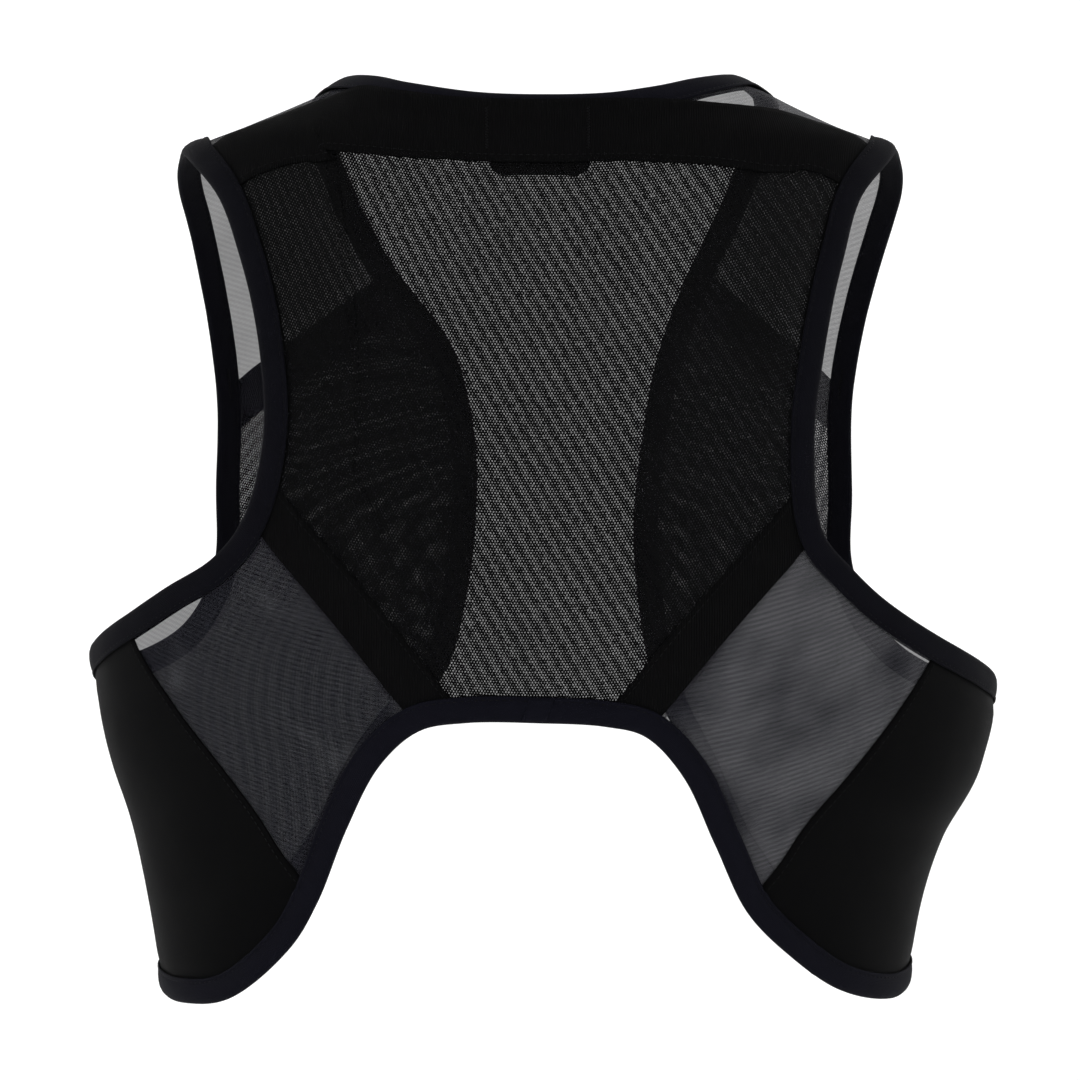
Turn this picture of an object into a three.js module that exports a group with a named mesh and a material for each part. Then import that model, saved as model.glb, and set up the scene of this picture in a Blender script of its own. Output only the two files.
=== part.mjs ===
// Running hydration vest, filled out as on a torso.
//
// Millimetres, +Z up. The wearer faces +Y, and +X is the wearer's right. The origin lies in the middle
// of the neck opening, level with the inner faces of the shoulder straps where they rest on the body.
//
// Every piece is a thin wall laid on one shape, the torso. A spot on it is a turn and a drop: the turn is
// in degrees round the body from the middle of the back, positive to the wearer's right, and the drop is
// how far the spot lies below the shoulders, as a share of the vest's height.

import * as THREE from 'three';

// Overall sizes of the filled-out vest
const vestHeight = 353;
const chestWidth = 344;
const chestDepth = 222;

// Layers, counted outwards from the torso
const clothThickness = 1.0;
const bindingWall = 1.0;
const foldClearance = 0.55;
const seamGap = 0.4;
const pocketLift = 0.7;
const pocketSetback = 0.75;
const bandThickness = 1.4;

// Bands and hems
const bindingWidth = 10;
const bandWidth = 27;
const slantHemWidth = 17;
const chestHemWidth = 17;
const tabWidth = 38;
const tabLength = 24;

// The torso's sections are rounder than an ellipse when this power is above 2
const sectionPower = 2.2;

// Half widths are shares of half the chest width, and depths are shares of the chest depth
const torsoSections = [
  { drop: -0.028, left: 0.337, right: 0.337, back: 0.243, front: 0.162 },
  { drop: -0.003, left: 0.413, right: 0.413, back: 0.270, front: 0.207 },
  { drop: 0.014, left: 0.477, right: 0.502, back: 0.288, front: 0.239 },
  { drop: 0.031, left: 0.555, right: 0.572, back: 0.306, front: 0.270 },
  { drop: 0.051, left: 0.655, right: 0.660, back: 0.324, front: 0.302 },
  { drop: 0.079, left: 0.791, right: 0.797, back: 0.351, front: 0.342 },
  { drop: 0.127, left: 0.866, right: 0.872, back: 0.387, front: 0.396 },
  { drop: 0.227, left: 0.930, right: 0.936, back: 0.437, front: 0.464 },
  { drop: 0.340, left: 0.965, right: 0.971, back: 0.468, front: 0.509 },
  { drop: 0.482, left: 0.988, right: 0.994, back: 0.477, front: 0.532 },
  { drop: 0.609, left: 0.994, right: 1.006, back: 0.464, front: 0.527 },
  { drop: 0.680, left: 0.974, right: 1.006, back: 0.450, front: 0.518 },
  { drop: 0.742, left: 0.936, right: 0.977, back: 0.437, front: 0.505 },
  { drop: 0.822, left: 0.895, right: 0.890, back: 0.414, front: 0.486 },
  { drop: 0.907, left: 0.860, right: 0.837, back: 0.396, front: 0.468 },
  { drop: 1.034, left: 0.820, right: 0.797, back: 0.378, front: 0.450 },
];

// Soft folds of the side panels, each a long shallow ridge across the cloth.
// Reach, width and rise are shares of the chest width.
const folds = [
  { turn: -60, drop: 0.885, slope: 38, reach: 0.100, width: 0.042, rise: 0.0050 },
  { turn: -50, drop: 0.820, slope: 44, reach: 0.080, width: 0.036, rise: 0.0035 },
  { turn: -84, drop: 0.735, slope: 12, reach: 0.120, width: 0.046, rise: 0.0060 },
  { turn: 58, drop: 0.885, slope: -40, reach: 0.100, width: 0.042, rise: 0.0050 },
  { turn: 47, drop: 0.830, slope: -46, reach: 0.080, width: 0.036, rise: 0.0035 },
  { turn: 74, drop: 0.770, slope: -6, reach: 0.120, width: 0.044, rise: 0.0050 },
];

// The outer edge of the vest, from the middle of the neck round one front to the middle of the back hem
const outerEdge = [
  { joint: 'neckMiddle', turnLeft: 0, dropLeft: 0.028, turnRight: 0, dropRight: 0.028 },
  { turnLeft: 21, dropLeft: 0.025, turnRight: 21, dropRight: 0.026 },
  { turnLeft: 42, dropLeft: 0.014, turnRight: 35, dropRight: 0.019 },
  { turnLeft: 56, dropLeft: 0.005, turnRight: 52, dropRight: 0.008 },
  { joint: 'neckShoulder', turnLeft: 80, dropLeft: 0.001, turnRight: 80, dropRight: 0.001 },
  { turnLeft: 98, dropLeft: 0.009, turnRight: 98, dropRight: 0.009 },
  { turnLeft: 116, dropLeft: 0.037, turnRight: 116, dropRight: 0.037 },
  { turnLeft: 130, dropLeft: 0.080, turnRight: 130, dropRight: 0.080 },
  { joint: 'chestHem', turnLeft: 148, dropLeft: 0.190, turnRight: 147, dropRight: 0.190 },
  { turnLeft: 162, dropLeft: 0.283, turnRight: 156, dropRight: 0.290 },
  { turnLeft: 167, dropLeft: 0.380, turnRight: 160, dropRight: 0.385 },
  { turnLeft: 167.5, dropLeft: 0.480, turnRight: 162, dropRight: 0.480 },
  { turnLeft: 165.5, dropLeft: 0.570, turnRight: 161, dropRight: 0.570 },
  { turnLeft: 162, dropLeft: 0.645, turnRight: 159, dropRight: 0.640 },
  { joint: 'frontCorner', turnLeft: 156, dropLeft: 0.690, turnRight: 156, dropRight: 0.690 },
  { turnLeft: 147, dropLeft: 0.755, turnRight: 150, dropRight: 0.755 },
  { turnLeft: 137, dropLeft: 0.855, turnRight: 140.5, dropRight: 0.855 },
  { turnLeft: 123, dropLeft: 0.937, turnRight: 127, dropRight: 0.935 },
  { joint: 'frontSeamHem', turnLeft: 108, dropLeft: 0.977, turnRight: 108, dropRight: 0.975 },
  { turnLeft: 90, dropLeft: 0.990, turnRight: 90, dropRight: 0.985 },
  { turnLeft: 76, dropLeft: 1.000, turnRight: 76, dropRight: 0.996 },
  { turnLeft: 65, dropLeft: 0.991, turnRight: 63.5, dropRight: 0.981 },
  { turnLeft: 53, dropLeft: 0.935, turnRight: 52.5, dropRight: 0.938 },
  { joint: 'sideSeamHem', turnLeft: 47, dropLeft: 0.884, turnRight: 44.5, dropRight: 0.893 },
  { turnLeft: 40, dropLeft: 0.804, turnRight: 37, dropRight: 0.820 },
  { turnLeft: 32.5, dropLeft: 0.736, turnRight: 29.5, dropRight: 0.748 },
  { joint: 'pocketHem', turnLeft: 25, dropLeft: 0.701, turnRight: 22, dropRight: 0.707 },
  { turnLeft: 16, dropLeft: 0.692, turnRight: 14, dropRight: 0.696 },
  { joint: 'hemMiddle', turnLeft: 0, dropLeft: 0.690, turnRight: 0, dropRight: 0.692 },
];

// Each armhole, from the shoulder down its back edge, under the arm and up its front edge
const armholeEdge = [
  { joint: 'shoulder', turnLeft: 80, dropLeft: 0.087, turnRight: 81, dropRight: 0.083 },
  { turnLeft: 66, dropLeft: 0.129, turnRight: 65.5, dropRight: 0.130 },
  { turnLeft: 57, dropLeft: 0.207, turnRight: 57.5, dropRight: 0.207 },
  { turnLeft: 51, dropLeft: 0.309, turnRight: 51.5, dropRight: 0.309 },
  { turnLeft: 49.7, dropLeft: 0.393, turnRight: 49.2, dropRight: 0.393 },
  { joint: 'pocketCorner', turnLeft: 52.2, dropLeft: 0.475, turnRight: 50, dropRight: 0.490 },
  { turnLeft: 57, dropLeft: 0.518, turnRight: 54.5, dropRight: 0.529 },
  { turnLeft: 64, dropLeft: 0.547, turnRight: 60, dropRight: 0.564 },
  { joint: 'sideSeam', turnLeft: 73.5, dropLeft: 0.583, turnRight: 70, dropRight: 0.606 },
  { turnLeft: 87, dropLeft: 0.617, turnRight: 85, dropRight: 0.643 },
  { turnLeft: 100, dropLeft: 0.628, turnRight: 100, dropRight: 0.655 },
  { joint: 'frontSeam', turnLeft: 110, dropLeft: 0.620, turnRight: 111, dropRight: 0.640 },
  { turnLeft: 117.5, dropLeft: 0.592, turnRight: 119, dropRight: 0.605 },
  { turnLeft: 122.3, dropLeft: 0.530, turnRight: 124.6, dropRight: 0.535 },
  { turnLeft: 122.4, dropLeft: 0.440, turnRight: 124.6, dropRight: 0.450 },
  { joint: 'chestHemOuter', turnLeft: 120.6, dropLeft: 0.325, turnRight: 122.5, dropRight: 0.325 },
  { turnLeft: 114, dropLeft: 0.210, turnRight: 115, dropRight: 0.210 },
  { turnLeft: 106, dropLeft: 0.137, turnRight: 105, dropRight: 0.130 },
  { turnLeft: 94, dropLeft: 0.088, turnRight: 94, dropRight: 0.084 },
];

// The free top edge of the back pocket's band, from its middle out and under the armhole binding.
// Width is the band's width there as a share of its width in the middle.
const bandTop = [
  { turnLeft: 0, dropLeft: 0.038, turnRight: 0, dropRight: 0.038, widthLeft: 1, widthRight: 1 },
  { turnLeft: 24, dropLeft: 0.036, turnRight: 24, dropRight: 0.037, widthLeft: 1, widthRight: 1 },
  { turnLeft: 42, dropLeft: 0.029, turnRight: 43, dropRight: 0.039, widthLeft: 1.13, widthRight: 1.08 },
  { turnLeft: 56, dropLeft: 0.024, turnRight: 55, dropRight: 0.042, widthLeft: 1.46, widthRight: 1.24 },
  { turnLeft: 65, dropLeft: 0.041, turnRight: 65, dropRight: 0.049, widthLeft: 1.4, widthRight: 1.26 },
  { turnLeft: 71, dropLeft: 0.068, turnRight: 71, dropRight: 0.068, widthLeft: 1.09, widthRight: 1.08 },
  { turnLeft: 76, dropLeft: 0.088, turnRight: 76, dropRight: 0.088, widthLeft: 0.95, widthRight: 0.95 },
];

// How many cells each stretch of an edge is divided into, up to the next named joint
const outerCells = {
  neckMiddle: 8, neckShoulder: 10, chestHem: 13, frontCorner: 9,
  frontSeamHem: 10, sideSeamHem: 6, pocketHem: 4,
};
const armholeCells = { shoulder: 14, pocketCorner: 6, sideSeam: 10, frontSeam: 5, chestHemOuter: 10 };

// How many cells a seam and a piece away from the edges is divided into
const shoulderCells = 6;
const seamCells = 8;
const pocketColumns = 18;
const pocketRows = 10;
const bandRows = 3;
const slantHemColumns = 3;
const chestHemRows = 2;
const tabRows = 3;
const tabColumns = 4;

// Heights of the layers above the torso
const meshBottom = bindingWall + foldClearance;
const meshTop = meshBottom + clothThickness;
const bindingTop = meshTop + foldClearance + bindingWall;
const pocketBottom = meshTop + pocketLift;
const pocketTop = pocketBottom + clothThickness;
const bandFreeBottom = bindingTop + pocketLift;

// How far a panel's edge lies inside the fold of a binding, and a pocket's edge inside the binding's own
const foldInset = bindingWall + foldClearance;
const bindingInset = bindingWidth + pocketSetback;
const marginWidth = bindingWidth - foldInset;

// The torso as a surface

// A smooth curve through a column of the section table that never overshoots a row
function columnSlopes(column) {
  const steps = torsoSections.slice(1).map((row, i) => row.drop - torsoSections[i].drop);
  const rises = torsoSections.slice(1).map((row, i) => (row[column] - torsoSections[i][column]) / steps[i]);
  return torsoSections.map((row, i) => {
    if (i === 0) return rises[0];
    if (i === steps.length) return rises[i - 1];
    if (rises[i - 1] * rises[i] <= 0) return 0;
    const before = 2 * steps[i] + steps[i - 1];
    const after = steps[i] + 2 * steps[i - 1];
    return (before + after) / (before / rises[i - 1] + after / rises[i]);
  });
}

const slopes = {
  left: columnSlopes('left'),
  right: columnSlopes('right'),
  back: columnSlopes('back'),
  front: columnSlopes('front'),
};

function sectionShare(column, drop) {
  const last = torsoSections.length - 2;
  let i = torsoSections.findIndex((row) => row.drop > drop) - 1;
  if (drop <= torsoSections[0].drop) i = 0;
  if (i < 0) i = last;
  const step = torsoSections[i + 1].drop - torsoSections[i].drop;
  const t = (drop - torsoSections[i].drop) / step;
  const from = torsoSections[i][column];
  const to = torsoSections[i + 1][column];
  return from * (2 * t ** 3 - 3 * t ** 2 + 1) + to * (3 * t ** 2 - 2 * t ** 3)
    + step * slopes[column][i] * (t ** 3 - 2 * t ** 2 + t)
    + step * slopes[column][i + 1] * (t ** 3 - t ** 2);
}

function smoothTorso(turn, drop) {
  const angle = THREE.MathUtils.degToRad(turn);
  const halfWidth = sectionShare(turn < 0 ? 'left' : 'right', drop) * chestWidth / 2;
  const depth = sectionShare(Math.abs(turn) < 90 ? 'back' : 'front', drop) * chestDepth;
  const across = Math.abs(Math.sin(angle) / halfWidth) ** sectionPower;
  const along = Math.abs(Math.cos(angle) / depth) ** sectionPower;
  const radius = (across + along) ** (-1 / sectionPower);
  return new THREE.Vector3(radius * Math.sin(angle), -radius * Math.cos(angle), -drop * vestHeight);
}

const foldCentres = folds.map((fold) => smoothTorso(fold.turn, fold.drop));

// How far the folds lift the cloth at a point of the smooth torso
function foldRise(point, turn) {
  let rise = 0;
  folds.forEach((fold, i) => {
    if (Math.sign(fold.turn) !== Math.sign(turn)) return;
    const away = point.clone().sub(foldCentres[i]);
    const flat = Math.hypot(away.x, away.y) * Math.sign(turn - fold.turn);
    const slope = THREE.MathUtils.degToRad(fold.slope);
    const along = flat * Math.cos(slope) + away.z * Math.sin(slope);
    const across = away.z * Math.cos(slope) - flat * Math.sin(slope);
    const reach = fold.reach * chestWidth;
    const width = fold.width * chestWidth;
    rise += fold.rise * chestWidth * Math.exp(-((along / reach) ** 2) - (across / width) ** 2);
  });
  return rise;
}

function torsoPoint(turn, drop) {
  const point = smoothTorso(turn, drop);
  const outward = new THREE.Vector3(point.x, point.y, 0).normalize();
  return point.addScaledVector(outward, foldRise(point, turn));
}

// The small steps that slopes are measured over
const turnStep = 0.2;
const dropStep = 0.0006;

// How far one stride of a walk over the torso goes
const stride = 2;

// The torso's point at a spot, its outward normal and how it moves with turn and drop
function torsoFrame(spot) {
  const point = torsoPoint(spot.turn, spot.drop);
  const perTurn = torsoPoint(spot.turn + turnStep, spot.drop)
    .sub(torsoPoint(spot.turn - turnStep, spot.drop)).divideScalar(2 * turnStep);
  const perDrop = torsoPoint(spot.turn, spot.drop + dropStep)
    .sub(torsoPoint(spot.turn, spot.drop - dropStep)).divideScalar(2 * dropStep);
  const normal = perDrop.clone().cross(perTurn).normalize();
  return { point, perTurn, perDrop, normal };
}

function raised(spot, height) {
  const { point, normal } = torsoFrame(spot);
  return point.addScaledVector(normal, height);
}

// The spot reached by walking over the torso from another, starting in a given direction
function walked(spot, direction, distance) {
  const strides = Math.ceil(distance / stride);
  const here = { turn: spot.turn, drop: spot.drop };
  for (let i = 0; i < strides; i += 1) {
    const { perTurn, perDrop, normal } = torsoFrame(here);
    const flat = direction.clone().addScaledVector(normal, -direction.dot(normal)).normalize();
    const tt = perTurn.dot(perTurn);
    const td = perTurn.dot(perDrop);
    const dd = perDrop.dot(perDrop);
    const t = flat.dot(perTurn);
    const d = flat.dot(perDrop);
    const scale = (distance / strides) / (tt * dd - td * td);
    here.turn += (t * dd - d * td) * scale;
    here.drop += (d * tt - t * td) * scale;
  }
  return here;
}

// Edges and lines on the torso

const sides = ['Left', 'Right'];
const mirrorOf = { Left: -1, Right: 1 };
const between = (from, to, share) => from + (to - from) * share;

function spotBetween(from, to, share) {
  return { turn: between(from.turn, to.turn, share), drop: between(from.drop, to.drop, share) };
}

// A table's rows on one side of the body
function rowsOnSide(table, side) {
  return table.map((row) => ({
    joint: row.joint ? row.joint + side : '',
    turn: mirrorOf[side] * row[`turn${side}`],
    drop: row[`drop${side}`],
    width: row[`width${side}`],
  }));
}

// Spots equally far apart along a finer list of spots
function evenly(spots, count) {
  const lengths = [0];
  for (let i = 1; i < spots.length; i += 1) {
    const here = smoothTorso(spots[i].turn, spots[i].drop);
    const before = smoothTorso(spots[i - 1].turn, spots[i - 1].drop);
    lengths.push(lengths[i - 1] + here.distanceTo(before));
  }
  const total = lengths[lengths.length - 1];
  const picked = [spots[0]];
  let i = 1;
  for (let k = 1; k < count; k += 1) {
    const wanted = total * k / count;
    while (lengths[i] < wanted) i += 1;
    const share = (wanted - lengths[i - 1]) / (lengths[i] - lengths[i - 1]);
    picked.push(spotBetween(spots[i - 1], spots[i], share));
  }
  picked.push(spots[spots.length - 1]);
  return picked;
}

// The mean length of one degree of turn, and how many fine steps a line takes from row to row
const turnLength = Math.PI * (chestWidth + chestDepth) / 4 / 180;
const fineSteps = 16;

// Many spots along a smooth line through rows, between two places in the row list
function fineSpots(rows, from, to, closed) {
  const points = rows.map((row) => new THREE.Vector3(row.turn * turnLength, row.drop * vestHeight, 0));
  const line = new THREE.CatmullRomCurve3(points, closed, 'centripetal');
  const spans = closed ? rows.length : rows.length - 1;
  const count = fineSteps * (to - from);
  const spots = [];
  for (let i = 0; i <= count; i += 1) {
    const place = between(from, to, i / count) / spans;
    const at = line.getPoint(closed ? place % 1 : place);
    spots.push({ turn: at.x / turnLength, drop: at.y / vestHeight });
  }
  return spots;
}

// The direction across a line of spots at one of them, to the left of travel as seen from outside
function across(spots, i, closed) {
  const last = spots.length - 1;
  const before = closed ? spots[(i + last) % (last + 1)] : spots[Math.max(i - 1, 0)];
  const after = closed ? spots[(i + 1) % (last + 1)] : spots[Math.min(i + 1, last)];
  const travel = torsoPoint(after.turn, after.drop).sub(torsoPoint(before.turn, before.drop));
  return torsoFrame(spots[i]).normal.cross(travel).normalize();
}

// A line of spots moved sideways over the torso, to the left of travel when the distance is positive
function beside(spots, distance) {
  return spots.map((spot, i) => {
    const direction = across(spots, i, false).multiplyScalar(Math.sign(distance));
    return walked(spot, direction, Math.abs(distance));
  });
}

// A finished edge that closes on itself, with the cloth to the left or the right of travel
class ClosedEdge {
  constructor(rows, cellsAfter, clothOnLeft) {
    this.stations = [];
    this.index = {};
    this.sense = clothOnLeft ? 1 : -1;
    const joints = rows.map((row, i) => ({ ...row, i })).filter((row) => row.joint);
    joints.forEach((row, k) => {
      const next = k + 1 < joints.length ? joints[k + 1].i : joints[0].i + rows.length;
      this.index[row.joint] = this.stations.length;
      const spots = evenly(fineSpots(rows, row.i, next, true), cellsAfter(row.joint, joints, k));
      this.stations.push(...spots.slice(0, -1));
    });
  }

  // All stations moved onto the cloth by a distance
  moved(distance) {
    return this.stations.map((spot, i) => {
      const direction = across(this.stations, i, true).multiplyScalar(this.sense);
      return walked(spot, direction, distance);
    });
  }

  // The stretch from one joint forward to another, moved onto the cloth
  stretch(fromJoint, toJoint, distance) {
    const spots = this.moved(distance);
    const from = this.index[fromJoint];
    const count = (this.index[toJoint] - from + spots.length) % spots.length;
    return Array.from({ length: count + 1 }, (_, i) => spots[(from + i) % spots.length]);
  }
}

const withoutSide = (joint) => joint.replace(/Left$|Right$/, '');

const outer = new ClosedEdge(
  [...rowsOnSide(outerEdge, 'Right'), ...rowsOnSide(outerEdge, 'Left').slice(1, -1).reverse()],
  (joint, joints, k) => {
    const goesBack = joint.endsWith('Left') || joint.startsWith('hemMiddle');
    return outerCells[withoutSide(goesBack ? joints[(k + 1) % joints.length].joint : joint)];
  },
  false,
);

const armholes = {};
sides.forEach((side) => {
  const rows = rowsOnSide(armholeEdge, side);
  armholes[side] = new ClosedEdge(rows, (joint) => armholeCells[withoutSide(joint)], side === 'Left');
});

// A stretch of the outer edge on one side, in the order from the neck by the front to the back hem
function outerStretch(side, fromJoint, toJoint, distance) {
  if (side === 'Right') return outer.stretch(`${fromJoint}Right`, `${toJoint}Right`, distance);
  return outer.stretch(`${toJoint}Left`, `${fromJoint}Left`, distance).reverse();
}

function armholeStretch(side, fromJoint, toJoint, distance) {
  return armholes[side].stretch(fromJoint + side, toJoint + side, distance);
}

// Evenly spaced spots on a straight line from one spot to another
function straight(from, to, count) {
  const steps = fineSteps * 2;
  const fine = Array.from({ length: steps + 1 }, (_, i) => spotBetween(from, to, i / steps));
  return evenly(fine, count);
}

// Where two lines of spots cross, as a place along each
function crossing(first, second) {
  for (let i = 1; i < first.length; i += 1) {
    for (let k = 1; k < second.length; k += 1) {
      const a = first[i - 1];
      const b = second[k - 1];
      const ax = first[i].turn - a.turn;
      const ay = first[i].drop - a.drop;
      const bx = second[k].turn - b.turn;
      const by = second[k].drop - b.drop;
      const area = ax * by - ay * bx;
      const s = ((b.turn - a.turn) * by - (b.drop - a.drop) * bx) / area;
      const t = ((b.turn - a.turn) * ay - (b.drop - a.drop) * ax) / area;
      if (s >= 0 && s <= 1 && t >= 0 && t <= 1) return { onFirst: i - 1 + s, onSecond: k - 1 + t };
    }
  }
  throw new Error('two lines on the torso never cross');
}

// The piece of a line of spots between two places along it
function piece(spots, from, to) {
  const at = (place) => {
    const i = Math.min(Math.floor(place), spots.length - 2);
    return spotBetween(spots[i], spots[i + 1], place - i);
  };
  if (from > to) return piece(spots, to, from).reverse();
  const whole = spots.filter((_, i) => i > from && i < to);
  return [at(from), ...whole, at(to)];
}

// A line of spots made longer at both ends by a share of its end cells
function lengthened(spots, share) {
  const last = spots.length - 1;
  return [
    spotBetween(spots[1], spots[0], 1 + share),
    ...spots,
    spotBetween(spots[last - 1], spots[last], 1 + share),
  ];
}

// Solids

// Fills the four-sided field between lines of spots; across runs along its first line
function field(top, bottom, left, right) {
  const columns = top.length - 1;
  const rows = left.length - 1;
  const cornersMix = (key, u, v) => between(
    between(top[0][key], top[columns][key], u),
    between(bottom[0][key], bottom[columns][key], u),
    v,
  );
  const mix = (key, u, v, i, j) => between(top[i][key], bottom[i][key], v)
    + between(left[j][key], right[j][key], u) - cornersMix(key, u, v);
  return left.map((_, j) => top.map((__, i) => {
    const u = i / columns;
    const v = j / rows;
    return { turn: mix('turn', u, v, i, j), drop: mix('drop', u, v, i, j) };
  }));
}

function solidFrom(points, faces) {
  const geometry = new THREE.BufferGeometry();
  geometry.setAttribute('position', new THREE.Float32BufferAttribute(points.flatMap((p) => p.toArray()), 3));
  let volume = 0;
  faces.forEach(([a, b, c]) => {
    volume += points[a].dot(points[b].clone().cross(points[c]));
  });
  geometry.setIndex(faces.flatMap(([a, b, c]) => (volume > 0 ? [a, b, c] : [a, c, b])));
  geometry.computeVertexNormals();
  return geometry;
}

// A wall laid over a field of spots, between two heights that may change from row to row
function wall(spots, bottomAt, topAt) {
  const rows = spots.length;
  const columns = spots[0].length;
  const points = [];
  [bottomAt, topAt].forEach((heightAt) => {
    spots.forEach((row, j) => row.forEach((spot) => points.push(raised(spot, heightAt(j / (rows - 1))))));
  });
  const at = (layer, j, i) => (layer * rows + j) * columns + i;
  const faces = [];
  const quad = (a, b, c, d) => faces.push([a, b, c], [a, c, d]);
  for (let j = 1; j < rows; j += 1) {
    for (let i = 1; i < columns; i += 1) {
      quad(at(0, j - 1, i - 1), at(0, j - 1, i), at(0, j, i), at(0, j, i - 1));
      quad(at(1, j, i - 1), at(1, j, i), at(1, j - 1, i), at(1, j - 1, i - 1));
    }
  }
  for (let i = 1; i < columns; i += 1) {
    quad(at(0, 0, i), at(0, 0, i - 1), at(1, 0, i - 1), at(1, 0, i));
    quad(at(0, rows - 1, i - 1), at(0, rows - 1, i), at(1, rows - 1, i), at(1, rows - 1, i - 1));
  }
  for (let j = 1; j < rows; j += 1) {
    quad(at(0, j - 1, 0), at(0, j, 0), at(1, j, 0), at(1, j - 1, 0));
    quad(at(0, j, columns - 1), at(0, j - 1, columns - 1), at(1, j - 1, columns - 1), at(1, j, columns - 1));
  }
  return solidFrom(points, faces);
}

const levelWall = (spots, bottom, top) => wall(spots, () => bottom, () => top);

// A strip folded over a closed edge, one leaf under the cloth and one over it
function foldedBinding(edge) {
  const section = [
    { inset: 0, height: 0 },
    { inset: bindingWidth, height: 0 },
    { inset: bindingWidth, height: bindingWall },
    { inset: bindingWall, height: bindingWall },
    { inset: bindingWall, height: bindingTop - bindingWall },
    { inset: bindingWidth, height: bindingTop - bindingWall },
    { inset: bindingWidth, height: bindingTop },
    { inset: 0, height: bindingTop },
  ];
  const spots = new Map(section.map(({ inset }) => [inset, edge.moved(inset)]));
  const count = edge.stations.length;
  const points = edge.stations.flatMap((_, k) => section.map(({ inset, height }) => (
    raised(spots.get(inset)[k], height))));
  const faces = [];
  for (let k = 0; k < count; k += 1) {
    for (let i = 0; i < section.length; i += 1) {
      const next = (i + 1) % section.length;
      const here = k * section.length;
      const there = ((k + 1) % count) * section.length;
      faces.push([here + i, here + next, there + next], [here + i, there + next, there + i]);
    }
  }
  return solidFrom(points, faces);
}

// Panels of the body. Each side of a panel is a line with its twin, which lies just inside the fold of the
// binding, so that cloth and binding bend at the same places.

// The corners where the seams meet the finished edges, inside the fold of the binding
function corners(side) {
  const edge = armholes[side].moved(foldInset + seamGap);
  const hole = (joint) => edge[armholes[side].index[joint + side]];
  const rim = outer.moved(foldInset + seamGap);
  const round = (joint) => rim[outer.index[joint + side]];
  return {
    neckShoulder: round('neckShoulder'),
    frontSeamHem: round('frontSeamHem'),
    sideSeamHem: round('sideSeamHem'),
    pocketHem: round('pocketHem'),
    shoulder: hole('shoulder'),
    pocketCorner: hole('pocketCorner'),
    sideSeam: hole('sideSeam'),
    frontSeam: hole('frontSeam'),
  };
}

const cornersOn = { Left: corners('Left'), Right: corners('Right') };

// A side along a straight seam, on the left of travel when the sense is positive
function seamSide(from, to, count, sense) {
  const seam = straight(from, to, count);
  return {
    line: beside(seam, sense * seamGap / 2),
    twin: beside(seam, sense * (seamGap / 2 + marginWidth)),
  };
}

// A side along a finished edge
function holeSide(side, fromJoint, toJoint) {
  return {
    line: armholeStretch(side, fromJoint, toJoint, foldInset),
    twin: armholeStretch(side, fromJoint, toJoint, bindingWidth),
  };
}

function rimSide(side, fromJoint, toJoint) {
  return {
    line: outerStretch(side, fromJoint, toJoint, foldInset),
    twin: outerStretch(side, fromJoint, toJoint, bindingWidth),
  };
}

const turned = ({ line, twin }) => ({ line: [...line].reverse(), twin: [...twin].reverse() });
const firstOf = (spots) => spots[0];
const lastOf = (spots) => spots[spots.length - 1];
const middleOf = (a, b) => spotBetween(a, b, 0.5);

// Two sides joined end to end. At a square corner the twins meet across the corner from the lines.
function joined(first, second, corner, square) {
  const twinCorner = middleOf(lastOf(first.twin), firstOf(second.twin));
  return {
    line: [...first.line.slice(0, -1), corner, ...second.line.slice(1)],
    twin: [
      ...first.twin.slice(0, -1),
      square ? spotBetween(corner, twinCorner, 2) : twinCorner,
      ...second.twin.slice(1),
    ],
  };
}

// Fills a panel between its four sides; the corners come from the left and right sides
function panel(top, bottom, left, right) {
  const inner = {
    top: top.twin.slice(1, -1),
    bottom: bottom.twin.slice(1, -1),
    left: left.twin.slice(1, -1),
    right: right.twin.slice(1, -1),
  };
  const meet = (a, i, b, k) => {
    const shared = middleOf(inner[a][i], inner[b][k]);
    inner[a][i] = shared;
    inner[b][k] = shared;
  };
  const lastColumn = inner.top.length - 1;
  const lastRow = inner.left.length - 1;
  meet('top', 0, 'left', 0);
  meet('top', lastColumn, 'right', 0);
  meet('bottom', 0, 'left', lastRow);
  meet('bottom', lastColumn, 'right', lastRow);
  const core = field(inner.top, inner.bottom, inner.left, inner.right);
  const spots = [
    [firstOf(left.line), ...top.line.slice(1, -1), firstOf(right.line)],
    ...core.map((row, j) => [left.line[j + 1], ...row, right.line[j + 1]]),
    [lastOf(left.line), ...bottom.line.slice(1, -1), lastOf(right.line)],
  ];
  return levelWall(spots, meshBottom, meshTop);
}

function backMesh() {
  const edges = {};
  sides.forEach((side) => {
    const c = cornersOn[side];
    const sense = -mirrorOf[side];
    const shoulder = seamSide(c.neckShoulder, c.shoulder, shoulderCells, sense);
    const slant = seamSide(c.pocketCorner, c.pocketHem, seamCells, sense);
    const hole = holeSide(side, 'shoulder', 'pocketCorner');
    const upper = joined(shoulder, hole, lastOf(shoulder.line), true);
    edges[side] = joined(upper, slant, firstOf(slant.line), false);
  });
  const neck = (distance) => outer.stretch('neckShoulderLeft', 'neckShoulderRight', distance);
  const top = { line: neck(foldInset), twin: neck(bindingWidth) };
  const columns = top.line.length - 1;
  const hem = (distance) => {
    const stretch = outer.stretch('pocketHemRight', 'pocketHemLeft', distance);
    return evenly(stretch.reverse(), columns);
  };
  return panel(top, { line: hem(foldInset), twin: hem(bindingWidth) }, edges.Left, edges.Right);
}

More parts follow.
